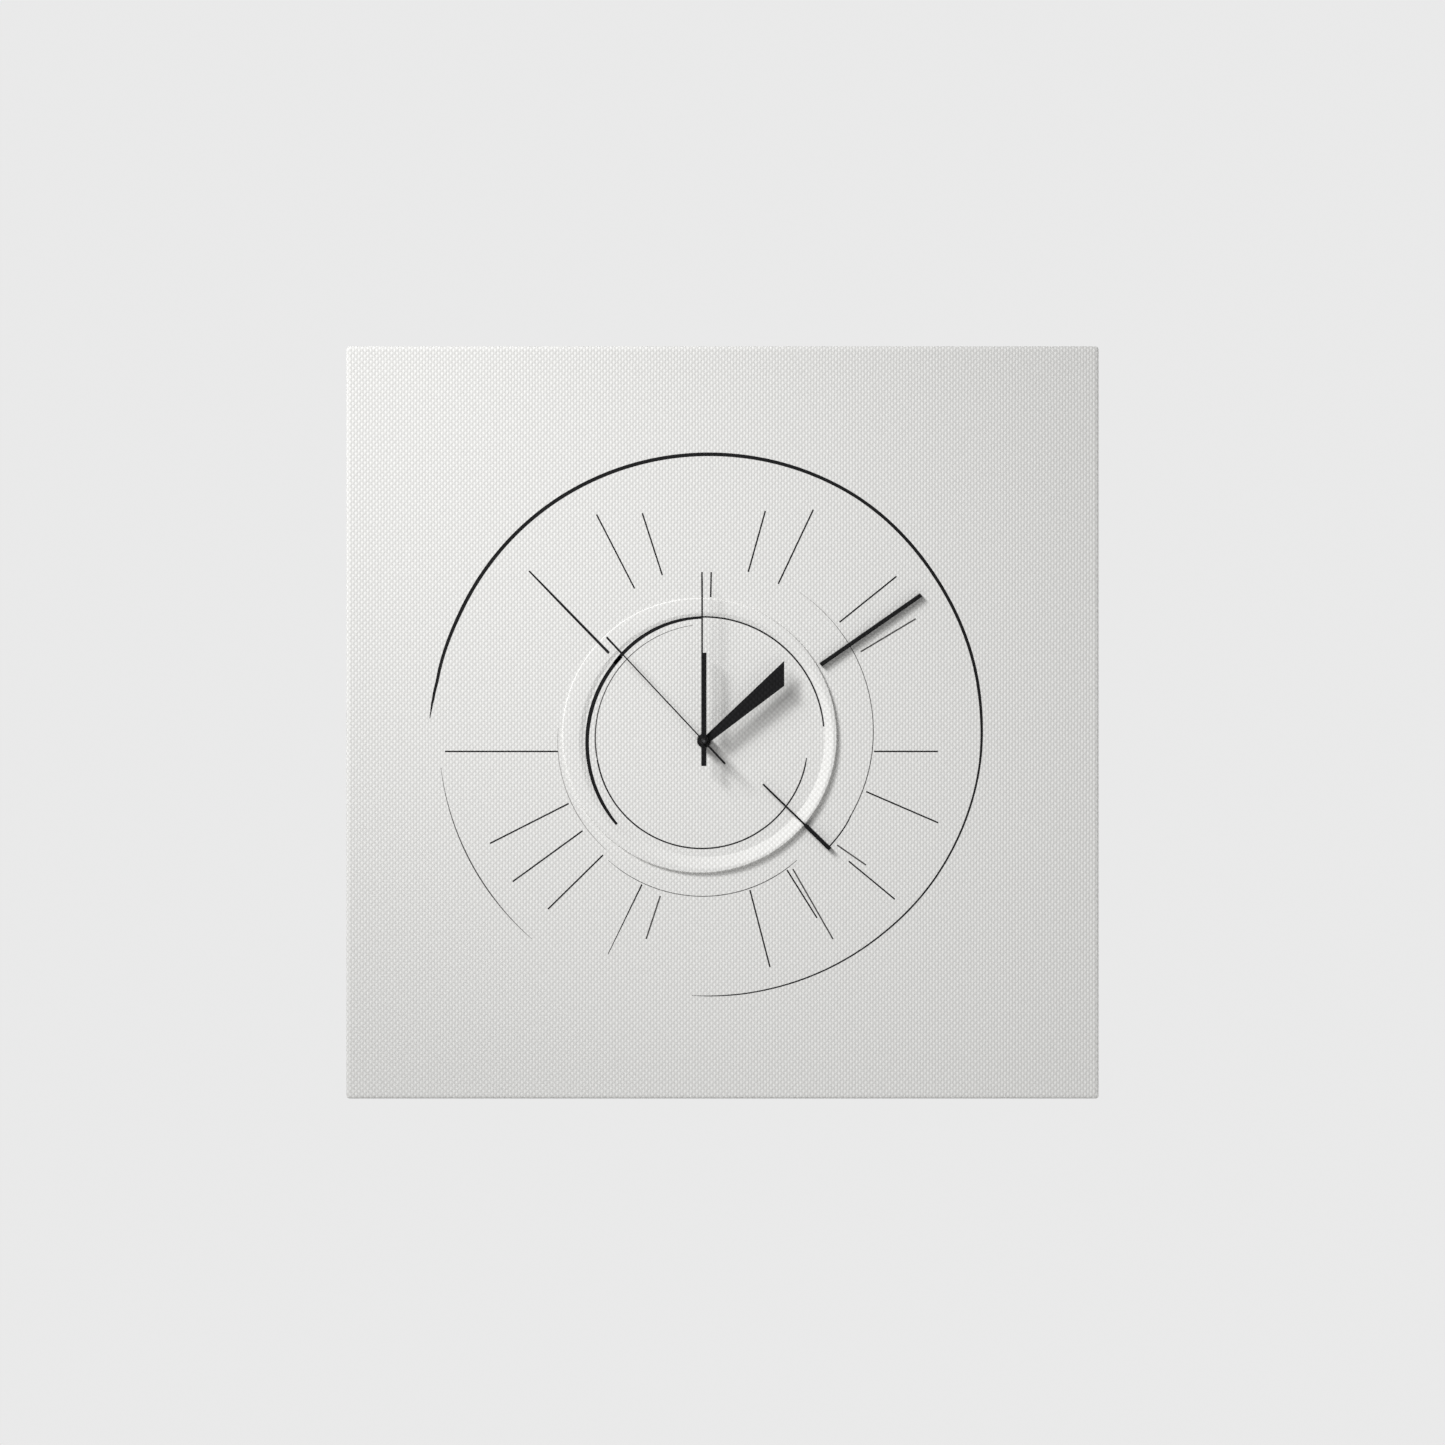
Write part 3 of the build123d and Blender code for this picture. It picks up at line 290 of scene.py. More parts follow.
def build_canvas():
    points, faces, flat = [], [], []
    half = SIDE / 2
    profile = canvas_profile()

    def add_point(x, y, z, u, v):
        points.append((CENTRE.x + x, y, CENTRE.z + z))
        flat.append((u, v))
        return len(points) - 1

    ripple = random.Random(5)
    for side in range(4):
        angle = side * math.pi / 2
        cos, sin = round(math.cos(angle)), round(math.sin(angle))
        waves = [(ripple.uniform(0.6, 1.4), ripple.uniform(0, 6.28)) for _ in range(3)]
        rows = []
        for inset, y, cloth in profile:
            row = []
            reach = half - inset
            for step in range(SIDE_STEPS + 1):
                x, side_out = along_side(step, reach, max(CORNER_ROUND - inset, TIGHT_ROUND))
                t = x / reach
                # the cloth is pulled in a hair between the staples, more so near its raw edge
                pull = sum(math.sin(t * RIPPLES * rate + phase) for rate, phase in waves) / len(waves)
                give = SIDE_RIPPLE * pull * (cloth > EDGE_ROUND * 2) * (1 - abs(t)) ** 0.3
                out = side_out + (give if inset == 0 else 0)
                in_y = y + (BACK_RIPPLE * pull if inset > BACK_ROUND * 1.5 else 0)
                u, v = x, half - EDGE_ROUND + cloth + side_out - reach
                row.append(add_point(x * cos - out * sin, min(in_y, FOLD_Y), x * sin + out * cos,
                                     u * cos - v * sin, u * sin + v * cos))
            rows.append(row)
        for upper, lower in zip(rows, rows[1:]):
            for step in range(SIDE_STEPS):
                faces.append((upper[step], upper[step + 1], lower[step + 1], lower[step]))
    # the face, as rings of flat cloth from the outline in to the hole for the bush
    inner = half - EDGE_ROUND
    hole_x, hole_z = AXIS_X - CENTRE.x, AXIS_Z - CENTRE.z
    count = 4 * SIDE_STEPS
    face_rings = []
    for share in (0.0, 0.004, 0.03, 0.25, 0.5, 0.75, 0.92, 0.97, 0.997, 1.0):
        face_ring = []
        for step in range(count):
            angle = -3 * math.pi / 4 + 2 * math.pi * step / count
            side, t = divmod(step, SIDE_STEPS)
            run, out = along_side(t, inner, TIGHT_ROUND)
            x, z = ((run, -out), (out, run), (-run, out), (-out, -run))[side]
            x += (hole_x + HOLE_R * math.cos(angle) - x) * share
            z += (hole_z + HOLE_R * math.sin(angle) - z) * share
            face_ring.append(add_point(x, FACE_Y, z, x, z))
        face_rings.append(face_ring)
    for outer_ring, inner_ring in zip(face_rings, face_rings[1:]):
        for step in range(count):
            following = (step + 1) % count
            faces.append((outer_ring[step], outer_ring[following], inner_ring[following], inner_ring[step]))
    made = piece("canvas", points, faces, primed_canvas, flat)
    weld = made.modifiers.new("weld", "WELD")
    weld.merge_threshold = 0.00001
    thick = made.modifiers.new("cloth thickness", "SOLIDIFY")
    thick.thickness, thick.offset = CLOTH_T, -1
    return made


canvas = build_canvas()
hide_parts("canvas_cover")


def add_prism(points, faces, low, high):
    """A solid between two matching outlines."""
    start, count = len(points), len(low)
    points += low + high
    faces.append([start + k for k in range(count)])
    faces.append([start + count + k for k in reversed(range(count))])
    for k in range(count):
        following = (k + 1) % count
        faces.append((start + k, start + count + k, start + count + following, start + following))


def build_corner_folds():
    """The spare cloth at each corner, folded flat on the top and bottom sides and over the back."""
    half = SIDE / 2
    sunk, proud = -0.2 * MM, 0.35 * MM      # its two layers, in the cloth and standing on it
    on_side = [(1.9 * MM, FACE_Y + 7 * MM), (2.8 * MM, FACE_Y + 7 * MM), (25 * MM, FOLD_Y - 1.7 * MM),
               (1.9 * MM, FOLD_Y - 1.7 * MM)]
    on_back = [(2.4 * MM, 1.9 * MM), (TURN_IN, TURN_IN - 1.5 * MM), (TURN_IN - 3 * MM, TURN_IN),
               (2.4 * MM, TURN_IN * 0.95)]
    points, faces = [], []
    for sx in (-1, 1):
        for sz in (-1, 1):
            layers = [[(CENTRE.x + sx * (half - a), y, CENTRE.z + sz * (half + level)) for a, y in on_side]
                      for level in (sunk, proud)]
            add_prism(points, faces, *layers)
            layers = [[(CENTRE.x + sx * (half - a), FOLD_Y + level, CENTRE.z + sz * (half - b))
                       for a, b in on_back] for level in (sunk, proud)]
            add_prism(points, faces, *layers)
    flat = [(x, z + y) for x, y, z in points]
    made = piece("canvas_corner_folds", points, faces, primed_canvas, flat, smooth=False)
    soften(made, 0.22 * MM, segments=3)
    return made


corner_folds = build_corner_folds()


END_W, END_STEPS = 0.22 * MM, 3     # a loose thread end's width, and the steps along it


def build_raw_edge():
    """Loose thread ends along the cut edge of the turned-in cloth, a few of them much longer."""
    loose = random.Random(8)
    half = SIDE / 2 - TURN_IN
    points, faces, flat = [], [], []
    for side in range(4):
        cos, sin = round(math.cos(side * math.pi / 2)), round(math.sin(side * math.pi / 2))
        x = -half + 2 * MM
        while x < half - 2 * MM:
            length = loose.uniform(0.4, 2.4) * MM * (2.2 if loose.random() < 0.06 else 1)
            bend = loose.uniform(-0.8, 0.8) * MM
            start = len(points)
            for k in range(END_STEPS + 1):
                t = k / END_STEPS
                out, along = half + 0.3 * MM - length * t, x + bend * t * t
                for edge in (-1, 1):
                    a = along + edge * END_W * (1 - 0.6 * t) / 2
                    points.append((CENTRE.x + a * cos - out * sin, FOLD_Y - 0.15 * MM + 0.2 * MM * t,
                                   CENTRE.z + a * sin + out * cos))
                    flat.append((a, out))
            for k in range(END_STEPS):
                faces.append((start + 2 * k, start + 2 * k + 1, start + 2 * k + 3, start + 2 * k + 2))
            x += loose.uniform(0.5, 2.2) * MM
    return piece("canvas_raw_edge", points, faces, primed_canvas, flat)


raw_edge = build_raw_edge()


# ---- relief ring --------------------------------------------------------------------------------------
# All in mm. The lip leans: it is high at the lower right and almost sinks into the face at the upper left.
RING_T, RING_T_LEFT = 2.5, 0.45
RING_R, RING_AT, LIP_W = 73.1, (-1.6, 2.2), 1.2     # the lip's outer edge, its centre and the lip's width
BATTER = 0.8                        # the outer wall's foot stands this much further up and to the left
FOOT_R, FOOT_AT = RING_R + BATTER * math.sqrt(2), (RING_AT[0] - BATTER, RING_AT[1] + BATTER)
DISH_R, DISH_AT = 64.8, (0.4, 2.3)  # where the dish inside the lip starts
RING_SOFT = 0.3                     # rounding of its corners
RING_SEGMENTS, SOFT_STEPS = 288, 4


def ring_section(angle):
    """Points (x, z, height) across the ring, from the dish to the outer foot, with soft corners."""
    cos, sin = math.cos(angle), math.sin(angle)

    def on(centre, radius, height):
        return Vector((centre[0] + radius * cos, centre[1] + radius * sin, height))

    dish, lip_in = on(DISH_AT, DISH_R, 0.0), on(RING_AT, RING_R - LIP_W, RING_T)
    lip_out, foot = on(RING_AT, RING_R, RING_T), on(FOOT_AT, FOOT_R, 0.0)
    slope = (RING_T - RING_T_LEFT) / (2 * RING_R * math.sqrt(2))

    def cut_at_top(low, high):
        """Where the line from low to high meets the sloping top of the lip."""
        share = 1.0
        for _ in range(4):
            point = low.lerp(high, share)
            top = (RING_T + RING_T_LEFT) / 2 + slope * (point.x - point.y)
            share = min(1.0, top / RING_T)
        return low.lerp(high, share)

    inner, outer = cut_at_top(dish, lip_in), cut_at_top(foot, lip_out)
    corners = [dish, inner, outer, foot]
    soft = RING_SOFT * min(1.0, inner.z / LIP_W)
    section = [dish, dish.lerp(inner, 0.5)]
    for before, corner, after in zip(corners, corners[1:], corners[2:]):
        start = corner + (before - corner).normalized() * soft
        end = corner + (after - corner).normalized() * soft
        for k in range(SOFT_STEPS + 1):
            t = k / SOFT_STEPS
            section.append(start.lerp(corner, t).lerp(corner.lerp(end, t), t))
    section.append(foot)
    return section


def build_ring():
    points, flat = [], []
    sections = [ring_section(2 * math.pi * k / RING_SEGMENTS) for k in range(RING_SEGMENTS)]
    for row in range(len(sections[0])):
        for section in sections:
            x, z, height = section[row]
            points.append((AXIS_X + x * MM, FACE_Y - height * MM, AXIS_Z + z * MM))
            flat.append((points[-1][0] - CENTRE.x, points[-1][2] - CENTRE.z))
    faces = strip_faces(len(sections[0]), RING_SEGMENTS, closed=True)
    return piece("ring_relief", points, [face[::-1] for face in faces], primed_canvas, flat)


ring = build_ring()
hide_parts("relief_ring")
ring_surface = BVHTree.FromPolygons([vertex.co for vertex in ring.data.vertices],
                                    [polygon.vertices for polygon in ring.data.polygons])


# ---- printed lines ------------------------------------------------------------------------------------
INK_LIFT = 0.07 * MM
BRIDGE = 0.3                        # mm, how far ink stays level beside a sharp corner
CLEAR_Y = FACE_Y - 20 * MM          # in front of everything raised on the face
STROKE_STEP, ARC_STEP = 0.5, 0.8    # mm between points along a line


def on_face(x, z):
    """The point on the face or the ring, from millimetres about the hands' axis."""
    start = Vector((AXIS_X + x * MM, CLEAR_Y, AXIS_Z + z * MM))
    level = FACE_Y
    for aside in ((0, 0), (BRIDGE, 0), (-BRIDGE, 0), (0, BRIDGE), (0, -BRIDGE)):
        beside = start + Vector((aside[0] * MM, 0, aside[1] * MM))
        hit = ring_surface.ray_cast(beside, Vector((0, 1, 0)), FACE_Y - CLEAR_Y - 0.1 * MM)[0]
        level = min(level, hit.y if hit else FACE_Y)
    return (start.x, level - INK_LIFT, start.z)


class Print:
    """Lines printed in one ink, which become one piece."""

    def __init__(self, name, ink):
        self.name, self.ink, self.points, self.faces = name, ink, [], []

    def line(self, path, widths):
        """A line of varying width along a path, three points across so that it follows the ring."""
        start, count = len(self.points), len(path)
        for k, (x, z) in enumerate(path):
            before, after = path[max(0, k - 1)], path[min(count - 1, k + 1)]
            dx, dz = after[0] - before[0], after[1] - before[1]
            length = math.hypot(dx, dz)
            half = widths[k] / 2
            for side in (-1, 0, 1):
                self.points.append(on_face(x - side * dz / length * half, z + side * dx / length * half))
        self.faces += [tuple(start + i for i in face[::-1]) for face in strip_faces(count, 3)]

    def stroke(self, outer, inner, width, inner_width=None):
        """A straight stroke."""
        inner_width = width if inner_width is None else inner_width
        steps = max(2, int(math.dist(outer, inner) / STROKE_STEP))
        path = [(outer[0] + (inner[0] - outer[0]) * k / steps, outer[1] + (inner[1] - outer[1]) * k / steps)
                for k in range(steps + 1)]
        self.line(path, [width + (inner_width - width) * k / steps for k in range(steps + 1)])

    def arc(self, centre, radii, stops):
        """An arc. stops is ((clock degrees, width, and how far outside the radius), ...)."""
        wide, tall = radii if isinstance(radii, tuple) else (radii, radii)
        first, last = stops[0][0], stops[-1][0]
        steps = max(8, int(math.radians(abs(last - first)) * wide / ARC_STEP))
        path, across = [], []
        for k in range(steps + 1):
            angle = first + (last - first) * k / steps
            low, high = next(pair for pair in zip(stops, stops[1:]) if angle <= pair[1][0] + 1e-6)
            share = (angle - low[0]) / (high[0] - low[0])
            across.append(low[1] + (high[1] - low[1]) * share)
            smooth = share * share * (3 - 2 * share)
            out = low[2] + (high[2] - low[2]) * smooth if len(low) > 2 else 0
            path.append((centre[0] + (wide + out) * math.sin(math.radians(angle)),
                         centre[1] + (tall + out) * math.cos(math.radians(angle))))
        self.line(path, across)

    def done(self):
        flat = [(x - CENTRE.x, z - CENTRE.z) for x, _, z in self.points]
        return piece(self.name, self.points, self.faces, self.ink, flat)


outer_sweep = Print("outer_sweep", black_ink)
outer_sweep.arc((2.5, 8.3), (147.5, 146.1), (
    (-88.5, 0.3, 3.0), (-86, 1.0, 2.4), (-84, 1.4, 1.8), (-80, 1.65, 1.0), (-64, 1.95, 0.0), (-30, 2.0, 0.3),
    (0, 1.95, 0.4), (30, 1.8, 0.6), (60, 1.75, -0.8), (82, 1.6, -0.4), (102, 1.05, 0.4), (123, 0.9, 0.3),
    (144, 0.8, -0.3), (165, 0.7, -0.3), (175, 0.6, -0.2), (180, 0.4, -0.2), (183.5, 0.12, -0.2)))
outer_sweep.done()

inner_lines = Print("inner_arcs", black_ink)
inner_lines.arc((5.3, -0.9), 68.4, ((-130, 1.3), (-118, 1.8), (-90, 1.95), (-75, 2.1), (-47, 1.95)))
inner_lines.arc((0.6, 6.2), 60.5, ((-54, 1.95), (-30, 1.85), (-2, 1.3)))
inner_lines.arc((0.0, 2.2), 64.8, ((-2, 0.75), (25, 0.8), (60, 0.8), (85, 0.7)))
inner_lines.arc((-1.2, -1.2), 56.8, (
    (98, 0.4, 0.3), (102, 0.75, 0.3), (130, 0.75, 0), (200, 0.75, 0), (258, 0.8, 0.2), (261, 0.65, 0.3)))
inner_lines.arc((21.0, -11.6), 65.0, ((116, 0.3), (119, 0.65), (134, 0.7)))
inner_lines.done()

LINE = 0.78
# Strokes in two inks, each from its outer end to its inner end, from the eleventh hour round to the ninth.
BLACK_STROKES = (
    ((-58.0, 122.3), (-37.5, 82.4)), ((-33.3, 123.0), (-22.5, 89.5)),           # eleven
    ((-1.1, 91.2), (-1.1, 81.0)), ((3.9, 91.2), (3.6, 77.7)),                   # twelve
    ((33.1, 124.2), (23.9, 91.3)), ((59.0, 124.9), (40.1, 84.9)),               # one
    ((103.9, 88.9), (73.1, 64.1)), ((126.3, -5.6), (91.8, -5.6)),               # two and three
    ((126.4, -44.1), (87.5, -27.3)), ((103.0, -85.4), (78.2, -64.9)),           # four
    ((61.0, -95.5), (44.8, -69.6)), ((35.6, -122.0), (24.8, -80.4)),            # five and six
    ((-84.2, -90.7), (-54.5, -61.5)), ((-103.3, -75.9), (-65.5, -48.4)),        # eight
    ((-115.6, -55.3), (-73.0, -33.7)), ((-139.8, -5.6), (-78.8, -5.6)),         # nine
)
GREY_STROKES = (
    ((114.3, 66.0), (84.6, 48.2)), ((87.4, -66.9), (71.8, -56.1)),              # two and four
    ((69.6, -106.9), (48.0, -69.1)), ((-31.2, -106.8), (-23.6, -83.6)),         # five and seven
)
hour_marks = Print("hour_marks", black_ink)
for outer, inner in BLACK_STROKES:
    hour_marks.stroke(outer, inner, LINE)
hour_marks.stroke((-51.9, -115.2), (-33.5, -77.4), 0.3, LINE)                   # seven, which fades out
hour_marks.stroke((-94.4, 91.8), (-78.0, 74.9), 0.85, 1.25)                     # ten, which swells inwards
hour_marks.stroke((-78.0, 74.9), (-51.3, 47.5), 1.25, 1.45)
hour_marks.done()

light_marks = Print("hour_marks_light", grey_ink)
for outer, inner in GREY_STROKES:
    light_marks.stroke(outer, inner, LINE)
light_marks.arc((2.7, 3.3), 145.8, ((221, 0.15), (235, 0.65), (244, 0.65), (263, 0.15)))
light_marks.arc((2.6, 1.8), 61.3, ((257, 0.5), (262, 0.8), (275, 0.65), (305, 0.42), (352, 0.15)))
light_marks.arc((0.7, 5.2), 90.7, ((45, 0.15), (60, 0.35), (90, 0.4), (121, 0.5)))
light_marks.arc((-0.8, -7.5), 76.3, ((138, 0.2), (150, 0.42), (180, 0.35), (210, 0.32), (222, 0.15)))
light_marks.done()

faint_marks = Print("halo_lines", faint_ink)
faint_marks.arc((0.0, 0.0), 79.0, ((222, 0.15), (240, 0.4), (275, 0.15)))
faint_marks.arc((0.7, 5.2), 90.7, ((34, 0.1), (46, 0.35)))
faint_marks.done()


# ---- finishes of the hands, hardware, timber and movement ---------------------------------------------
def black_paint():
    """Stamped aluminium under matt black powder paint: near black and without shine, with a faint woven grain
    painted as a highlight on the weave's crowns and shade between them.
    """
    material, tree, shader = finish("matt_black_paint", Roughness=0.6, Specular_IOR_Level=0.2)
    place = place_of(tree)
    height, crown_highlight_and_hollow_shade = weave(tree, place, "X", "Z")
    grit = add(tree, "ShaderNodeTexNoise", {"Vector": place, "Scale": 1 / 0.0006, "Detail": 2.0})
    # painted highlight on the weave's crowns and painted shade between them, over random grit
    tone = add(tree, "ShaderNodeMath", {0: crown_highlight_and_hollow_shade, 1: 0.3, 2: grit}, operation="MULTIPLY_ADD")
    tree.links.new(ramp(tree, tone, (0.15, "#080809"), (0.85, "#1c1c1e")), shader.inputs["Base Color"])
    raise_by(tree, shader, height, 0.00008)
    return material


def worn_metal(name, bright, dull, roughness, grain=0.0004, relief=0.00001):
    """Plated or turned metal: two tones of handling, and fine marks that blur what it reflects."""
    material, tree, shader = finish(name, Metallic=1.0)
    place = place_of(tree)
    patch = add(tree, "ShaderNodeTexNoise", {"Vector": place, "Scale": 1 / 0.006, "Detail": 4.0})
    marks = add(tree, "ShaderNodeTexNoise", {"Vector": place, "Scale": 1 / grain, "Detail": 2.0})
    tree.links.new(ramp(tree, patch, (0.35, bright), (0.7, dull)), shader.inputs["Base Color"])
    rough = add(tree, "ShaderNodeMapRange",
                {"Value": marks, "To Min": roughness - 0.08, "To Max": roughness + 0.1})
    tree.links.new(rough, shader.inputs["Roughness"])
    raise_by(tree, shader, marks, relief)
    return material


def pine(name, stretch, pith):
    """Planed pine. Growth rings 3 mm apart run along the bar, dark where the summer wood is."""
    material, tree, shader = finish(name, Roughness=0.62, Specular_IOR_Level=0.3)
    place = place_of(tree)
    long_grain = add(tree, "ShaderNodeVectorMath", {0: place, 1: stretch}, operation="MULTIPLY")
    wander = add(tree, "ShaderNodeTexNoise", {"Vector": long_grain, "Scale": 1 / 0.03, "Detail": 2.0})
    bent = add(tree, "ShaderNodeVectorMath", {0: wander, 1: (0.02, 0.02, 0.02), 2: long_grain},
               operation="MULTIPLY_ADD")
    centred = add(tree, "ShaderNodeVectorMath", {0: bent, 1: pith}, operation="ADD")
    away = tree.nodes.new("ShaderNodeVectorMath")
    away.operation = "LENGTH"
    tree.links.new(centred, away.inputs[0])
    turns = add(tree, "ShaderNodeMath", {0: away.outputs["Value"], 1: 1 / 0.0032}, operation="MULTIPLY")
    ring_share = add(tree, "ShaderNodeMath", {0: turns}, operation="FRACT")
    pores = add(tree, "ShaderNodeTexNoise", {"Vector": long_grain, "Scale": 1 / 0.0008, "Detail": 3.0})
    tone = add(tree, "ShaderNodeMath", {0: pores, 1: 0.35, 2: ring_share}, operation="MULTIPLY_ADD")
    tree.links.new(ramp(tree, tone, (0.25, "#e6cda0"), (0.8, "#dcbb85"), (0.99, "#bd8d50"), (1.0, "#e0c493")),
                   shader.inputs["Base Color"])
    raise_by(tree, shader, tone, 0.00012)
    return material


def birch_ply():
    """Birch plywood: pale sanded faces, and three plies that alternate on the cut edges."""
    material, tree, shader = finish("birch_plywood", Roughness=0.6)
    place = place_of(tree)
    parts = tree.nodes.new("ShaderNodeSeparateXYZ")
    tree.links.new(place, parts.inputs[0])
    plies = add(tree, "ShaderNodeMath", {0: parts.outputs["Y"], 1: 1 / 0.0026}, operation="MULTIPLY")
    ply = add(tree, "ShaderNodeMath", {0: plies}, operation="FRACT")
    long_grain = add(tree, "ShaderNodeVectorMath", {0: place, 1: (0.12, 1, 1)}, operation="MULTIPLY")
    fleck = add(tree, "ShaderNodeTexNoise", {"Vector": long_grain, "Scale": 1 / 0.0016, "Detail": 4.0})
    tone = add(tree, "ShaderNodeMath", {0: fleck, 1: 0.6, 2: ply}, operation="MULTIPLY_ADD")
    tree.links.new(ramp(tree, tone, (0.2, "#dfc69c"), (0.8, "#d2b283"), (1.0, "#b58d5c")),
                   shader.inputs["Base Color"])
    raise_by(tree, shader, fleck, 0.00006)
    return material


WIRE_GAP = 2.2 * MM                 # between the wires of the press's mesh


def hardboard():
    """Wet-pressed hardboard. Its back keeps the print of the wire mesh it was pressed on."""
    material, tree, shader = finish("hardboard", Roughness=0.75, Specular_IOR_Level=0.3)
    place = place_of(tree)
    parts = tree.nodes.new("ShaderNodeSeparateXYZ")
    tree.links.new(place, parts.inputs[0])
    prints = []
    for part in ("X", "Z"):
        phase = add(tree, "ShaderNodeMath", {0: parts.outputs[part], 1: math.pi / WIRE_GAP},
                    operation="MULTIPLY")
        prints.append(add(tree, "ShaderNodeMath", {0: phase}, operation="SINE"))
    mesh_print = add(tree, "ShaderNodeMath", {0: prints[0], 1: prints[1]}, operation="MULTIPLY")
    fibre = add(tree, "ShaderNodeTexNoise",
                {"Vector": place, "Scale": 1 / (1.5 * MM), "Detail": 5.0, "Roughness": 0.7})
    patch = add(tree, "ShaderNodeTexNoise", {"Vector": place, "Scale": 1 / 0.05, "Detail": 2.0})
    tone = add(tree, "ShaderNodeMath", {0: patch, 1: 0.35, 2: fibre}, operation="MULTIPLY_ADD")
    tree.links.new(ramp(tree, tone, (0.3, "#62452d"), (0.9, "#775537"), (1.0, "#8a6747")),
                   shader.inputs["Base Color"])
    height = add(tree, "ShaderNodeMath", {0: mesh_print, 1: 0.5, 2: fibre}, operation="MULTIPLY_ADD")
    raise_by(tree, shader, height, 0.00008)
    return material


def moulded(name, light, dark, roughness, grit, relief):
    """Moulded plastic: an even colour with the fine spark-eroded grain of its mould."""
    material, tree, shader = finish(name, Roughness=roughness)
    place = place_of(tree)
    grain = add(tree, "ShaderNodeTexNoise", {"Vector": place, "Scale": 1 / grit, "Detail": 2.0})
    flow = add(tree, "ShaderNodeTexNoise", {"Vector": place, "Scale": 1 / 0.03, "Detail": 2.0})
    tree.links.new(ramp(tree, flow, (0.3, dark), (0.7, light)), shader.inputs["Base Color"])
    raise_by(tree, shader, grain, relief)
    return material


def cell_film():
    """Shrink film on a steel can: plain dark film with one pale band, bare bright steel at both ends."""
    material, tree, shader = finish("cell_film", Coat_Weight=0.5, Coat_Roughness=0.1)
    low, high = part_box("battery_cell")
    place = place_of(tree)
    parts = tree.nodes.new("ShaderNodeSeparateXYZ")
    tree.links.new(place, parts.inputs[0])
    along = add(tree, "ShaderNodeMapRange",
                {"Value": parts.outputs["X"], "From Min": low.x, "From Max": high.x})
    bands = ramp(tree, along, (0.0, "#b9babb"), (0.012, "#2c3f52"), (0.70, "#d9dcdd"), (0.735, "#8fa3ad"),
                 (0.965, "#b9babb"))
    bands.node.color_ramp.interpolation = "CONSTANT"
    tree.links.new(bands, shader.inputs["Base Color"])
    ends = ramp(tree, along, (0.0, "#ffffff"), (0.012, "#000000"), (0.965, "#ffffff"))
    ends.node.color_ramp.interpolation = "CONSTANT"
    tree.links.new(ends, shader.inputs["Metallic"])
    grain = add(tree, "ShaderNodeTexNoise", {"Vector": place, "Scale": 1 / (2.5 * MM)})
    rough = add(tree, "ShaderNodeMapRange", {"Value": grain, "To Min": 0.25, "To Max": 0.4})
    tree.links.new(rough, shader.inputs["Roughness"])
    return material


WIRE_TURN = 0.35 * MM               # real turns are 0.1 mm apart, too fine to show


def copper_winding():
    """Enamelled copper wire wound in close turns: a painted warm highlight on each turn and painted shade in
    the gaps between, with the turns' relief.
    """
    material, tree, shader = finish("enamelled_copper_wire", Metallic=1.0, Roughness=0.3)
    parts = tree.nodes.new("ShaderNodeSeparateXYZ")
    tree.links.new(place_of(tree), parts.inputs[0])
    phase = add(tree, "ShaderNodeMath", {0: parts.outputs["X"], 1: 2 * math.pi / WIRE_TURN},
                operation="MULTIPLY")
    turns = add(tree, "ShaderNodeMath", {0: phase}, operation="SINE")
    height = add(tree, "ShaderNodeMapRange", {"Value": turns, "From Min": -1.0})
    # painted highlight on each turn and painted shade in the gaps, set by the turns' height
    tree.links.new(ramp(tree, height, (0.0, "#5a2412"), (0.8, "#b8663a")), shader.inputs["Base Color"])
    raise_by(tree, shader, height, 0.0001)
    return material


PIN_R = 0.6 * MM                    # the bare end of the arbor


def painted_with_pin():
    """The second hand: the same paint, and at its centre the bare polished end of the arbor."""
    material, tree, shader = finish("black_paint_and_bare_pin", Specular_IOR_Level=0.3)
    place = place_of(tree)
    grit = add(tree, "ShaderNodeTexNoise", {"Vector": place, "Scale": 1 / 0.0006, "Detail": 2.0})
    parts = tree.nodes.new("ShaderNodeSeparateXYZ")
    tree.links.new(place, parts.inputs[0])
    flat_place = tree.nodes.new("ShaderNodeCombineXYZ")
    for axis in ("X", "Z"):
        tree.links.new(parts.outputs[axis], flat_place.inputs[axis])
    from_axis = add(tree, "ShaderNodeVectorMath", {0: flat_place.outputs[0], 1: (AXIS_X, 0, AXIS_Z)},
                    operation="DISTANCE").node
    bare = add(tree, "ShaderNodeMapRange",
               {"Value": from_axis.outputs["Value"], "From Min": PIN_R, "From Max": PIN_R + 0.1 * MM,
                "To Min": 1.0, "To Max": 0.0})
    paint = ramp(tree, grit, (0.3, "#0b0b0c"), (0.75, "#161618"))
    mix = add(tree, "ShaderNodeMix", {0: bare, 7: colour("#c8c9cb")}, data_type="RGBA").node
    tree.links.new(paint, mix.inputs[6])
    tree.links.new(mix.outputs[2], shader.inputs["Base Color"])
    tree.links.new(bare, shader.inputs["Metallic"])
    rough = add(tree, "ShaderNodeMapRange", {"Value": bare, "To Min": 0.5, "To Max": 0.22})
    tree.links.new(rough, shader.inputs["Roughness"])
    return material


hand_paint = black_paint()
# Plated and turned metals: zinc dull and cool, nickel strip brighter and warm, ground steel brightest,
# annealed iron dark with hardly a glint, brass yellow, and black where it is blackened.
zinc = worn_metal("zinc_plated_steel", "#c9cbcd", "#a7a9ab", 0.34)
nickel = worn_metal("nickel_plated_strip", "#cfc9bf", "#b3ada2", 0.28)
steel = worn_metal("polished_arbor_steel", "#cfd0d2", "#b9babc", 0.2)
iron = worn_metal("annealed_iron_lamination", "#8f9193", "#6f7072", 0.45)
brass = worn_metal("turned_brass", "#d8b468", "#b48f45", 0.3)
black_brass = worn_metal("blackened_brass", "#232222", "#2d2a26", 0.5)
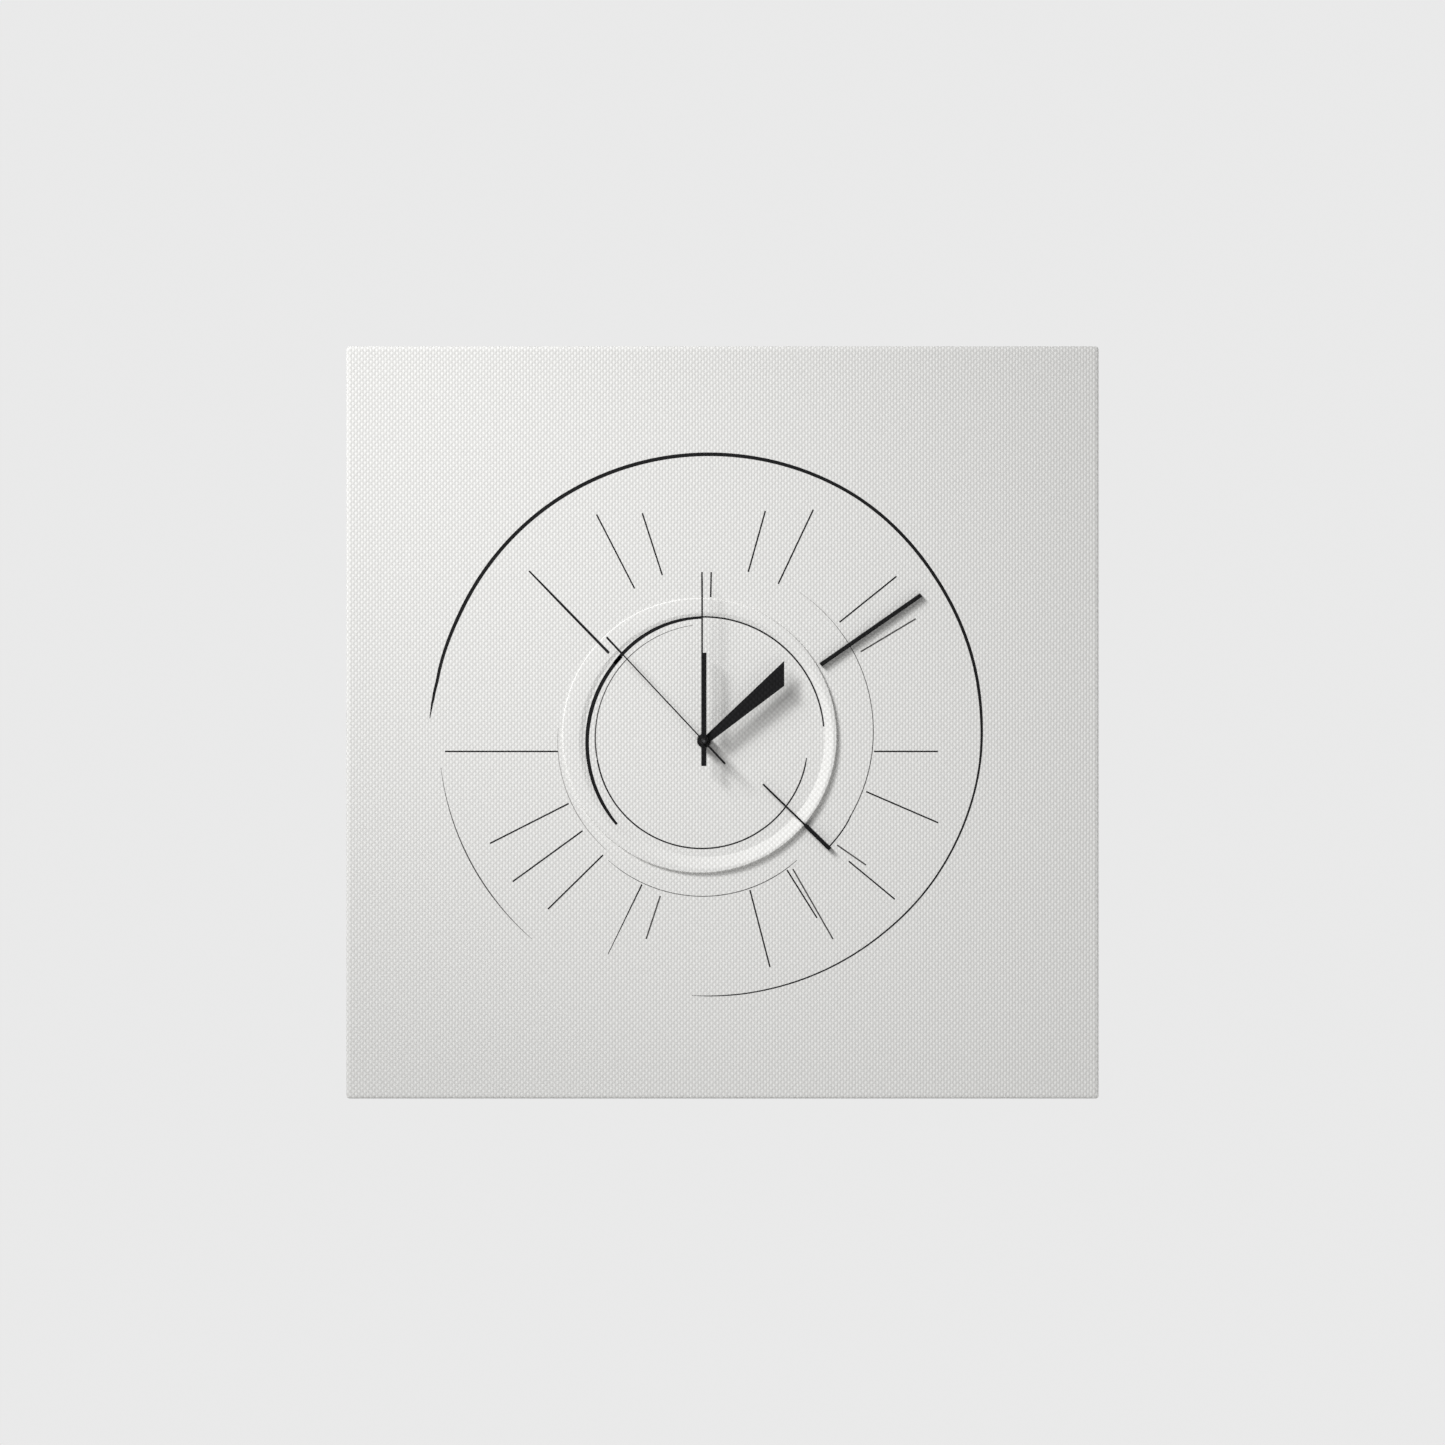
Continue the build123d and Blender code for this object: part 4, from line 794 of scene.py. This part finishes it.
# Moulded parts. Ferrite is a flat charcoal, ABS a soft black sheen, acetal and nylon a waxy white and cream,
# the circuit board a dull green, potting resin a wet black drop, and rubber a matt black.
magnet = moulded("sintered_ferrite", "#3a3a3c", "#2c2c2e", 0.55, 0.0004, 0.00002)
case_abs = moulded("black_abs", "#202022", "#18181a", 0.36, 0.0005, 0.00003)
acetal = moulded("white_acetal", "#ebe8df", "#e0dcd0", 0.35, 0.0008, 0.00001)
bobbin_nylon = moulded("natural_nylon", "#e6dfca", "#d8d0b8", 0.4, 0.0008, 0.00001)
laminate = moulded("circuit_laminate", "#5e6e3c", "#4d5c30", 0.4, 0.0012, 0.00002)
resin = moulded("potting_resin", "#121212", "#0c0c0c", 0.15, 0.003, 0.00005)
rubber = moulded("black_rubber", "#1d1d1d", "#151515", 0.8, 0.0006, 0.00005)
pine_level = pine("planed_pine_level", (0.06, 1, 1), (0, 0.055, 0.21))
pine_upright = pine("planed_pine_upright", (1, 1, 0.06), (0.24, 0.06, 0))
ply, board_brown = birch_ply(), hardboard()

dress(hand_paint, "hour_hand", "minute_hand", edge=0.12 * MM)
dress(painted_with_pin(), "second_hand", edge=0.12 * MM)
dress(hand_paint, "two_batten", "four_batten", edge=0.18 * MM)
dress(black_brass, "centre_bush", "clamp_nut", edge=0.15 * MM)
dress(brass, "clamp_washer", "cannon_pinion")
dress(rubber, "rubber_gasket")
dress(pine_level, "stretcher_bar_top", "stretcher_bar_bottom", "glue_blocks", edge=0.8 * MM)
dress(pine_upright, "stretcher_bar_left", "stretcher_bar_right", edge=0.8 * MM)
dress(ply, "corner_braces", edge=0.4 * MM)
dress(board_brown, "dial_board")
dress(zinc, "sawtooth_hanger", edge=0.12 * MM)
dress(zinc, "hanger_nails", "case_screws", edge=0.15 * MM)
dress(case_abs, "movement_case", "movement_front_plate", edge=0.35 * MM)
dress(case_abs, "setting_knob", edge=0.2 * MM)
dress(iron, "stator", "coil_core")
dress(nickel, "positive_contact", "negative_contact", "battery_spring", "quartz_crystal")
dress(steel, "second_wheel")
dress(acetal, "rotor_pinion", "step_wheel", "third_wheel", "centre_wheel", "minute_wheel", "hour_wheel",
      "setting_gear")
dress(magnet, "rotor_magnet")
dress(bobbin_nylon, "coil_bobbin")
dress(copper_winding(), "coil_winding")
dress(laminate, "circuit_board")
dress(resin, "chip_blob")
dress(cell_film(), "battery_cell")


# ---- staples and bumpers ------------------------------------------------------------------------------
WIRE_SIDES = 8


def tube_points(path, radius, sides=WIRE_SIDES):
    """Rows of points round a path."""
    points = []
    for k, point in enumerate(path):
        ahead = (path[min(k + 1, len(path) - 1)] - path[max(k - 1, 0)]).normalized()
        across = ahead.cross(Vector((0.3, 0.9, 0.2))).normalized()
        up = ahead.cross(across)
        for side in range(sides):
            angle = 2 * math.pi * side / sides
            points.append(point + (across * math.cos(angle) + up * math.sin(angle)) * radius)
    return points


STAPLE_R = 0.36 * MM                # the wire
STAPLE_SPAN = 12.5 * MM             # longer than a staple's crown
# One leg to the other: (share of half the crown, depth in mm under the crown's ends)
STAPLE_BEND = ((-1, 4.0), (-1, 0.5), (-0.985, 0.15), (-0.94, 0.0), (-0.5, -0.06), (0, -0.08), (0.5, -0.06),
               (0.94, 0.0), (0.985, 0.15), (1, 0.5), (1, 4.0))


def build_staples():
    """Wire staples shot through the turned-in cloth, each a little out of line."""
    shot = random.Random(3)
    node = frame["nodes"]["canvas_staples"]
    corners = [v.co.copy() for v in node.data.vertices]
    crown_highlight_and_hollow_shade = []
    for co in corners:                  # gather the crowns' corners, one group a staple
        if co.y < FOLD_Y - 1e-5:
            continue
        group = next((g for g in crown_highlight_and_hollow_shade if (g[0] - co).length < STAPLE_SPAN), None)
        if group is None:
            crown_highlight_and_hollow_shade.append([co])
        else:
            group.append(co)
    points, faces = [], []
    for group in crown_highlight_and_hollow_shade:
        low = Vector([min(co[i] for co in group) for i in range(3)])
        high = Vector([max(co[i] for co in group) for i in range(3)])
        middle, span = (low + high) / 2, high - low
        along = Vector((1, 0, 0)) if span.x > span.z else Vector((0, 0, 1))
        across = Vector((along.z, 0, along.x))
        half = max(span.x, span.z) / 2 - 0.35 * MM
        tilt = shot.uniform(-0.12, 0.12)
        top = FOLD_Y + 0.3 * MM
        path = []
        for t, depth in STAPLE_BEND:
            path.append(Vector((middle.x, top - depth * MM, middle.z)) + along * (half * t)
                        + across * (half * t * tilt))
        start = len(points)
        points += tube_points(path, STAPLE_R)
        faces += [tuple(start + i for i in face) for face in strip_faces(len(path), WIRE_SIDES, closed=True)]
    return piece("staples", points, faces, zinc)


staples = build_staples()
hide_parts("canvas_staples")


def build_bumpers():
    """Soft domed discs, stuck on the lower corners."""
    low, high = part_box("wall_bumpers")
    radius = (high.z - low.z) / 2
    points, faces, around = [], [], 40
    outline = [(1.0, 0.0), (1.0, 0.55), (0.97, 0.78), (0.9, 0.92), (0.78, 0.99), (0.4, 1.0), (0.0, 1.0)]
    for x in (low.x + radius, high.x - radius):
        start = len(points)
        for share, rise in outline:
            for k in range(around):
                angle = 2 * math.pi * k / around
                points.append((x + radius * share * math.cos(angle), low.y + (high.y - low.y) * rise,
                               (low.z + high.z) / 2 + radius * share * math.sin(angle)))
        faces += [tuple(start + i for i in face[::-1])
                  for face in strip_faces(len(outline), around, closed=True)]
    return piece("bumpers", points, faces, rubber)


bumpers = build_bumpers()
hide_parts("wall_bumpers")


def build_case_marks():
    """Marks moulded on the case's back: an arrow round the knob, the cell's two signs and grip ribs."""
    case_low, case_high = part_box("movement_case")
    knob_low, knob_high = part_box("setting_knob")
    cell_low, cell_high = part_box("battery_cell")
    back, rise, sunk = case_high.y, 0.6 * MM, 0.1 * MM
    stroke, sign = 0.8 * MM, 3.2 * MM       # the signs' line and length
    points, faces = [], []

    def bar(x, z, wide, tall):
        outline = [(x - wide / 2, z - tall / 2), (x + wide / 2, z - tall / 2), (x + wide / 2, z + tall / 2),
                   (x - wide / 2, z + tall / 2)]
        mark(outline)

    def mark(outline):
        add_prism(points, faces, [(x, back - sunk, z) for x, z in outline],
                  [(x, back + rise, z) for x, z in outline])

    knob_x, knob_z = (knob_low.x + knob_high.x) / 2, (knob_low.z + knob_high.z) / 2
    ring_r, width, barb = (knob_high.x - knob_low.x) / 2 + 2.2 * MM, stroke, 1.1 * MM
    for k in range(14):                 # the arrow's bow, over the knob
        angles = [math.radians(60 + 6 * k + step) for step in (0, 6)]
        mark([(knob_x + r * math.cos(angle), knob_z + r * math.sin(angle))
              for r, angle in ((ring_r, angles[0]), (ring_r + width, angles[0]), (ring_r + width, angles[1]),
                               (ring_r, angles[1]))])
    tip, foot = math.radians(50), math.radians(61)
    mark([(knob_x + r * math.cos(angle), knob_z + r * math.sin(angle))
          for r, angle in ((ring_r - barb, foot), (ring_r + width / 2, tip), (ring_r + width + barb, foot))])
    sign_z = cell_high.z + sign
    bar(cell_high.x - 4 * MM, sign_z, sign, stroke)
    bar(cell_high.x - 4 * MM, sign_z, stroke, sign)
    bar(cell_low.x + 4 * MM, sign_z, sign, stroke)
    for k in range(6):
        bar(case_low.x + 7 * MM + 2.2 * MM * k, case_high.z - 9 * MM, 0.9 * MM, 9 * MM)
    wide, middle = case_high.x - case_low.x - 6 * MM, (case_low.x + case_high.x) / 2
    bar(middle, case_high.z - 2.4 * MM, wide, 0.7 * MM)
    bar(middle, sign_z + 3.4 * MM, wide, 0.7 * MM)
    made = piece("case_marks", points, faces, case_abs, smooth=False)
    soften(made, 0.1 * MM)
    return made


build_case_marks()


def build_knob_grip():
    """The raised bar on the setting knob that a finger and thumb turn, and a ring of short ribs."""
    low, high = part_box("setting_knob")
    x, z, radius = (low.x + high.x) / 2, (low.z + high.z) / 2, (high.x - low.x) / 2
    points, faces = [], []
    turned = math.radians(25)

    def block(centre_a, centre_b, wide, tall, rise, angle=0.0):
        c, s = math.cos(turned + angle), math.sin(turned + angle)
        outline = [(centre_a + da * wide / 2, centre_b + db * tall / 2)
                   for da, db in ((-1, -1), (1, -1), (1, 1), (-1, 1))]
        outline = [(x + a * c - b * s, z + a * s + b * c) for a, b in outline]
        add_prism(points, faces, [(a, high.y - 0.1 * MM, b) for a, b in outline],
                  [(a, high.y + rise, b) for a, b in outline])

    block(0, 0, radius * 1.2, 1.8 * MM, 0.9 * MM)
    ribs, rib = 24, 0.9 * MM
    for k in range(ribs):
        block(radius - rib, 0, rib, 0.45 * MM, 0.25 * MM, 2 * math.pi * k / ribs)
    made = piece("knob_grip", points, faces, case_abs, smooth=False, body="setting")
    soften(made, 0.12 * MM)
    return made


build_knob_grip()


# ---- stage, world and lights --------------------------------------------------------------------------
FLOOR_REACH, FLOOR_DROP, FLOOR_GLOW = 2.6, 0.95, 0.33


def build_floor():
    """Opal acrylic lit from below: even and pale to the horizon, its tone drifting a little."""
    material, tree, shader = finish("pale_floor", Roughness=0.9)
    drift = add(tree, "ShaderNodeTexNoise", {"Vector": place_of(tree), "Scale": 1.5, "Detail": 1.0})
    tone = ramp(tree, drift, (0.35, "#b4b4b3"), (0.65, "#b9b9b8"))
    tree.links.new(tone, shader.inputs["Base Color"])
    shader.inputs["Emission Color"].default_value = colour("#ffffff")
    shader.inputs["Emission Strength"].default_value = FLOOR_GLOW
    mesh = bpy.data.meshes.new("floor")
    corners = [(x * FLOOR_REACH, y * FLOOR_REACH, CENTRE.z - FLOOR_DROP)
               for x, y in ((-1, -1), (1, -1), (1, 1), (-1, 1))]
    mesh.from_pydata(corners, [], [(0, 1, 2, 3)])
    floor = bpy.data.objects.new("floor", mesh)
    mesh.materials.append(material)
    scene.collection.objects.link(floor)


def hang(name, lamp, position, target):
    """Puts a lamp at a place and points it."""
    light = bpy.data.objects.new(name, lamp)
    light.location = position
    light.rotation_euler = (Vector(target) - Vector(position)).to_track_quat("-Z", "Y").to_euler()
    scene.collection.objects.link(light)
    return light


def soft_box(name, position, target, size, watts):
    """A round diffuser."""
    lamp = bpy.data.lights.new(name, "AREA")
    lamp.shape, lamp.size, lamp.energy = "DISK", size, watts
    return hang(name, lamp, position, target)


build_floor()
# Only the backdrop is bright to the eye. The light it throws on the clock is dimmer, so the relief shows.
BACKDROP, AIR_LIGHT = 0.82, 0.11
world = bpy.data.worlds.new("studio")
scene.world = world
world.use_nodes = True
air = world.node_tree.nodes["Background"]
air.inputs["Color"].default_value = colour("#ffffff")
seen = world.node_tree.nodes.new("ShaderNodeLightPath")
strength = add(world.node_tree, "ShaderNodeMix",
               {0: seen.outputs["Is Camera Ray"], 2: AIR_LIGHT, 3: BACKDROP}, data_type="FLOAT")
world.node_tree.links.new(strength, air.inputs["Strength"])

face = Vector((CENTRE.x, FACE_Y, CENTRE.z))
key = soft_box("key", face + Vector((-0.9, -1.05, 0.98)), face, 0.45, 18.5)
# The key is a strip box stood on end towards the face: its shadows start dark at the hands and fade out.
towards = (key.location - face).normalized()
upright = (Vector((0, -1, 0)) + towards * towards.y).normalized()
key.rotation_euler = Matrix((upright.cross(towards), upright, towards)).transposed().to_euler()
key.data.shape, key.data.size_y = "RECTANGLE", 1.15
soft_box("fill", face + Vector((1.7, -1.6, 0.2)), face, 1.6, 2.5)
# The side light stands behind the face's plane, so it reaches only the right side.
behind_face = face + Vector((0, 0.35, 0))
soft_box("side", behind_face + Vector((2.2, 0, 0.3)), behind_face, 0.6, 16)
soft_box("back", (CENTRE.x - 0.9, 1.9, CENTRE.z + 0.9), (CENTRE.x, 0, CENTRE.z), 1.0, 22)
soft_box("above", (CENTRE.x, 2.7, CENTRE.z + 1.4), (CENTRE.x, 2.7, CENTRE.z), 3.0, 34)
# A low spot rakes across the middle of the face and draws out the hands' shadows.
rake = bpy.data.lights.new("centre", "SPOT")
rake.energy, rake.shadow_soft_size = 104, 0.25
rake.spot_size, rake.spot_blend = math.radians(21), 1.0
hang("centre", rake, face + Vector((-1.35, -1.25, 1.35)), face + Vector((-0.03, 0, 0.03)))
scene.view_settings.view_transform = "Standard"
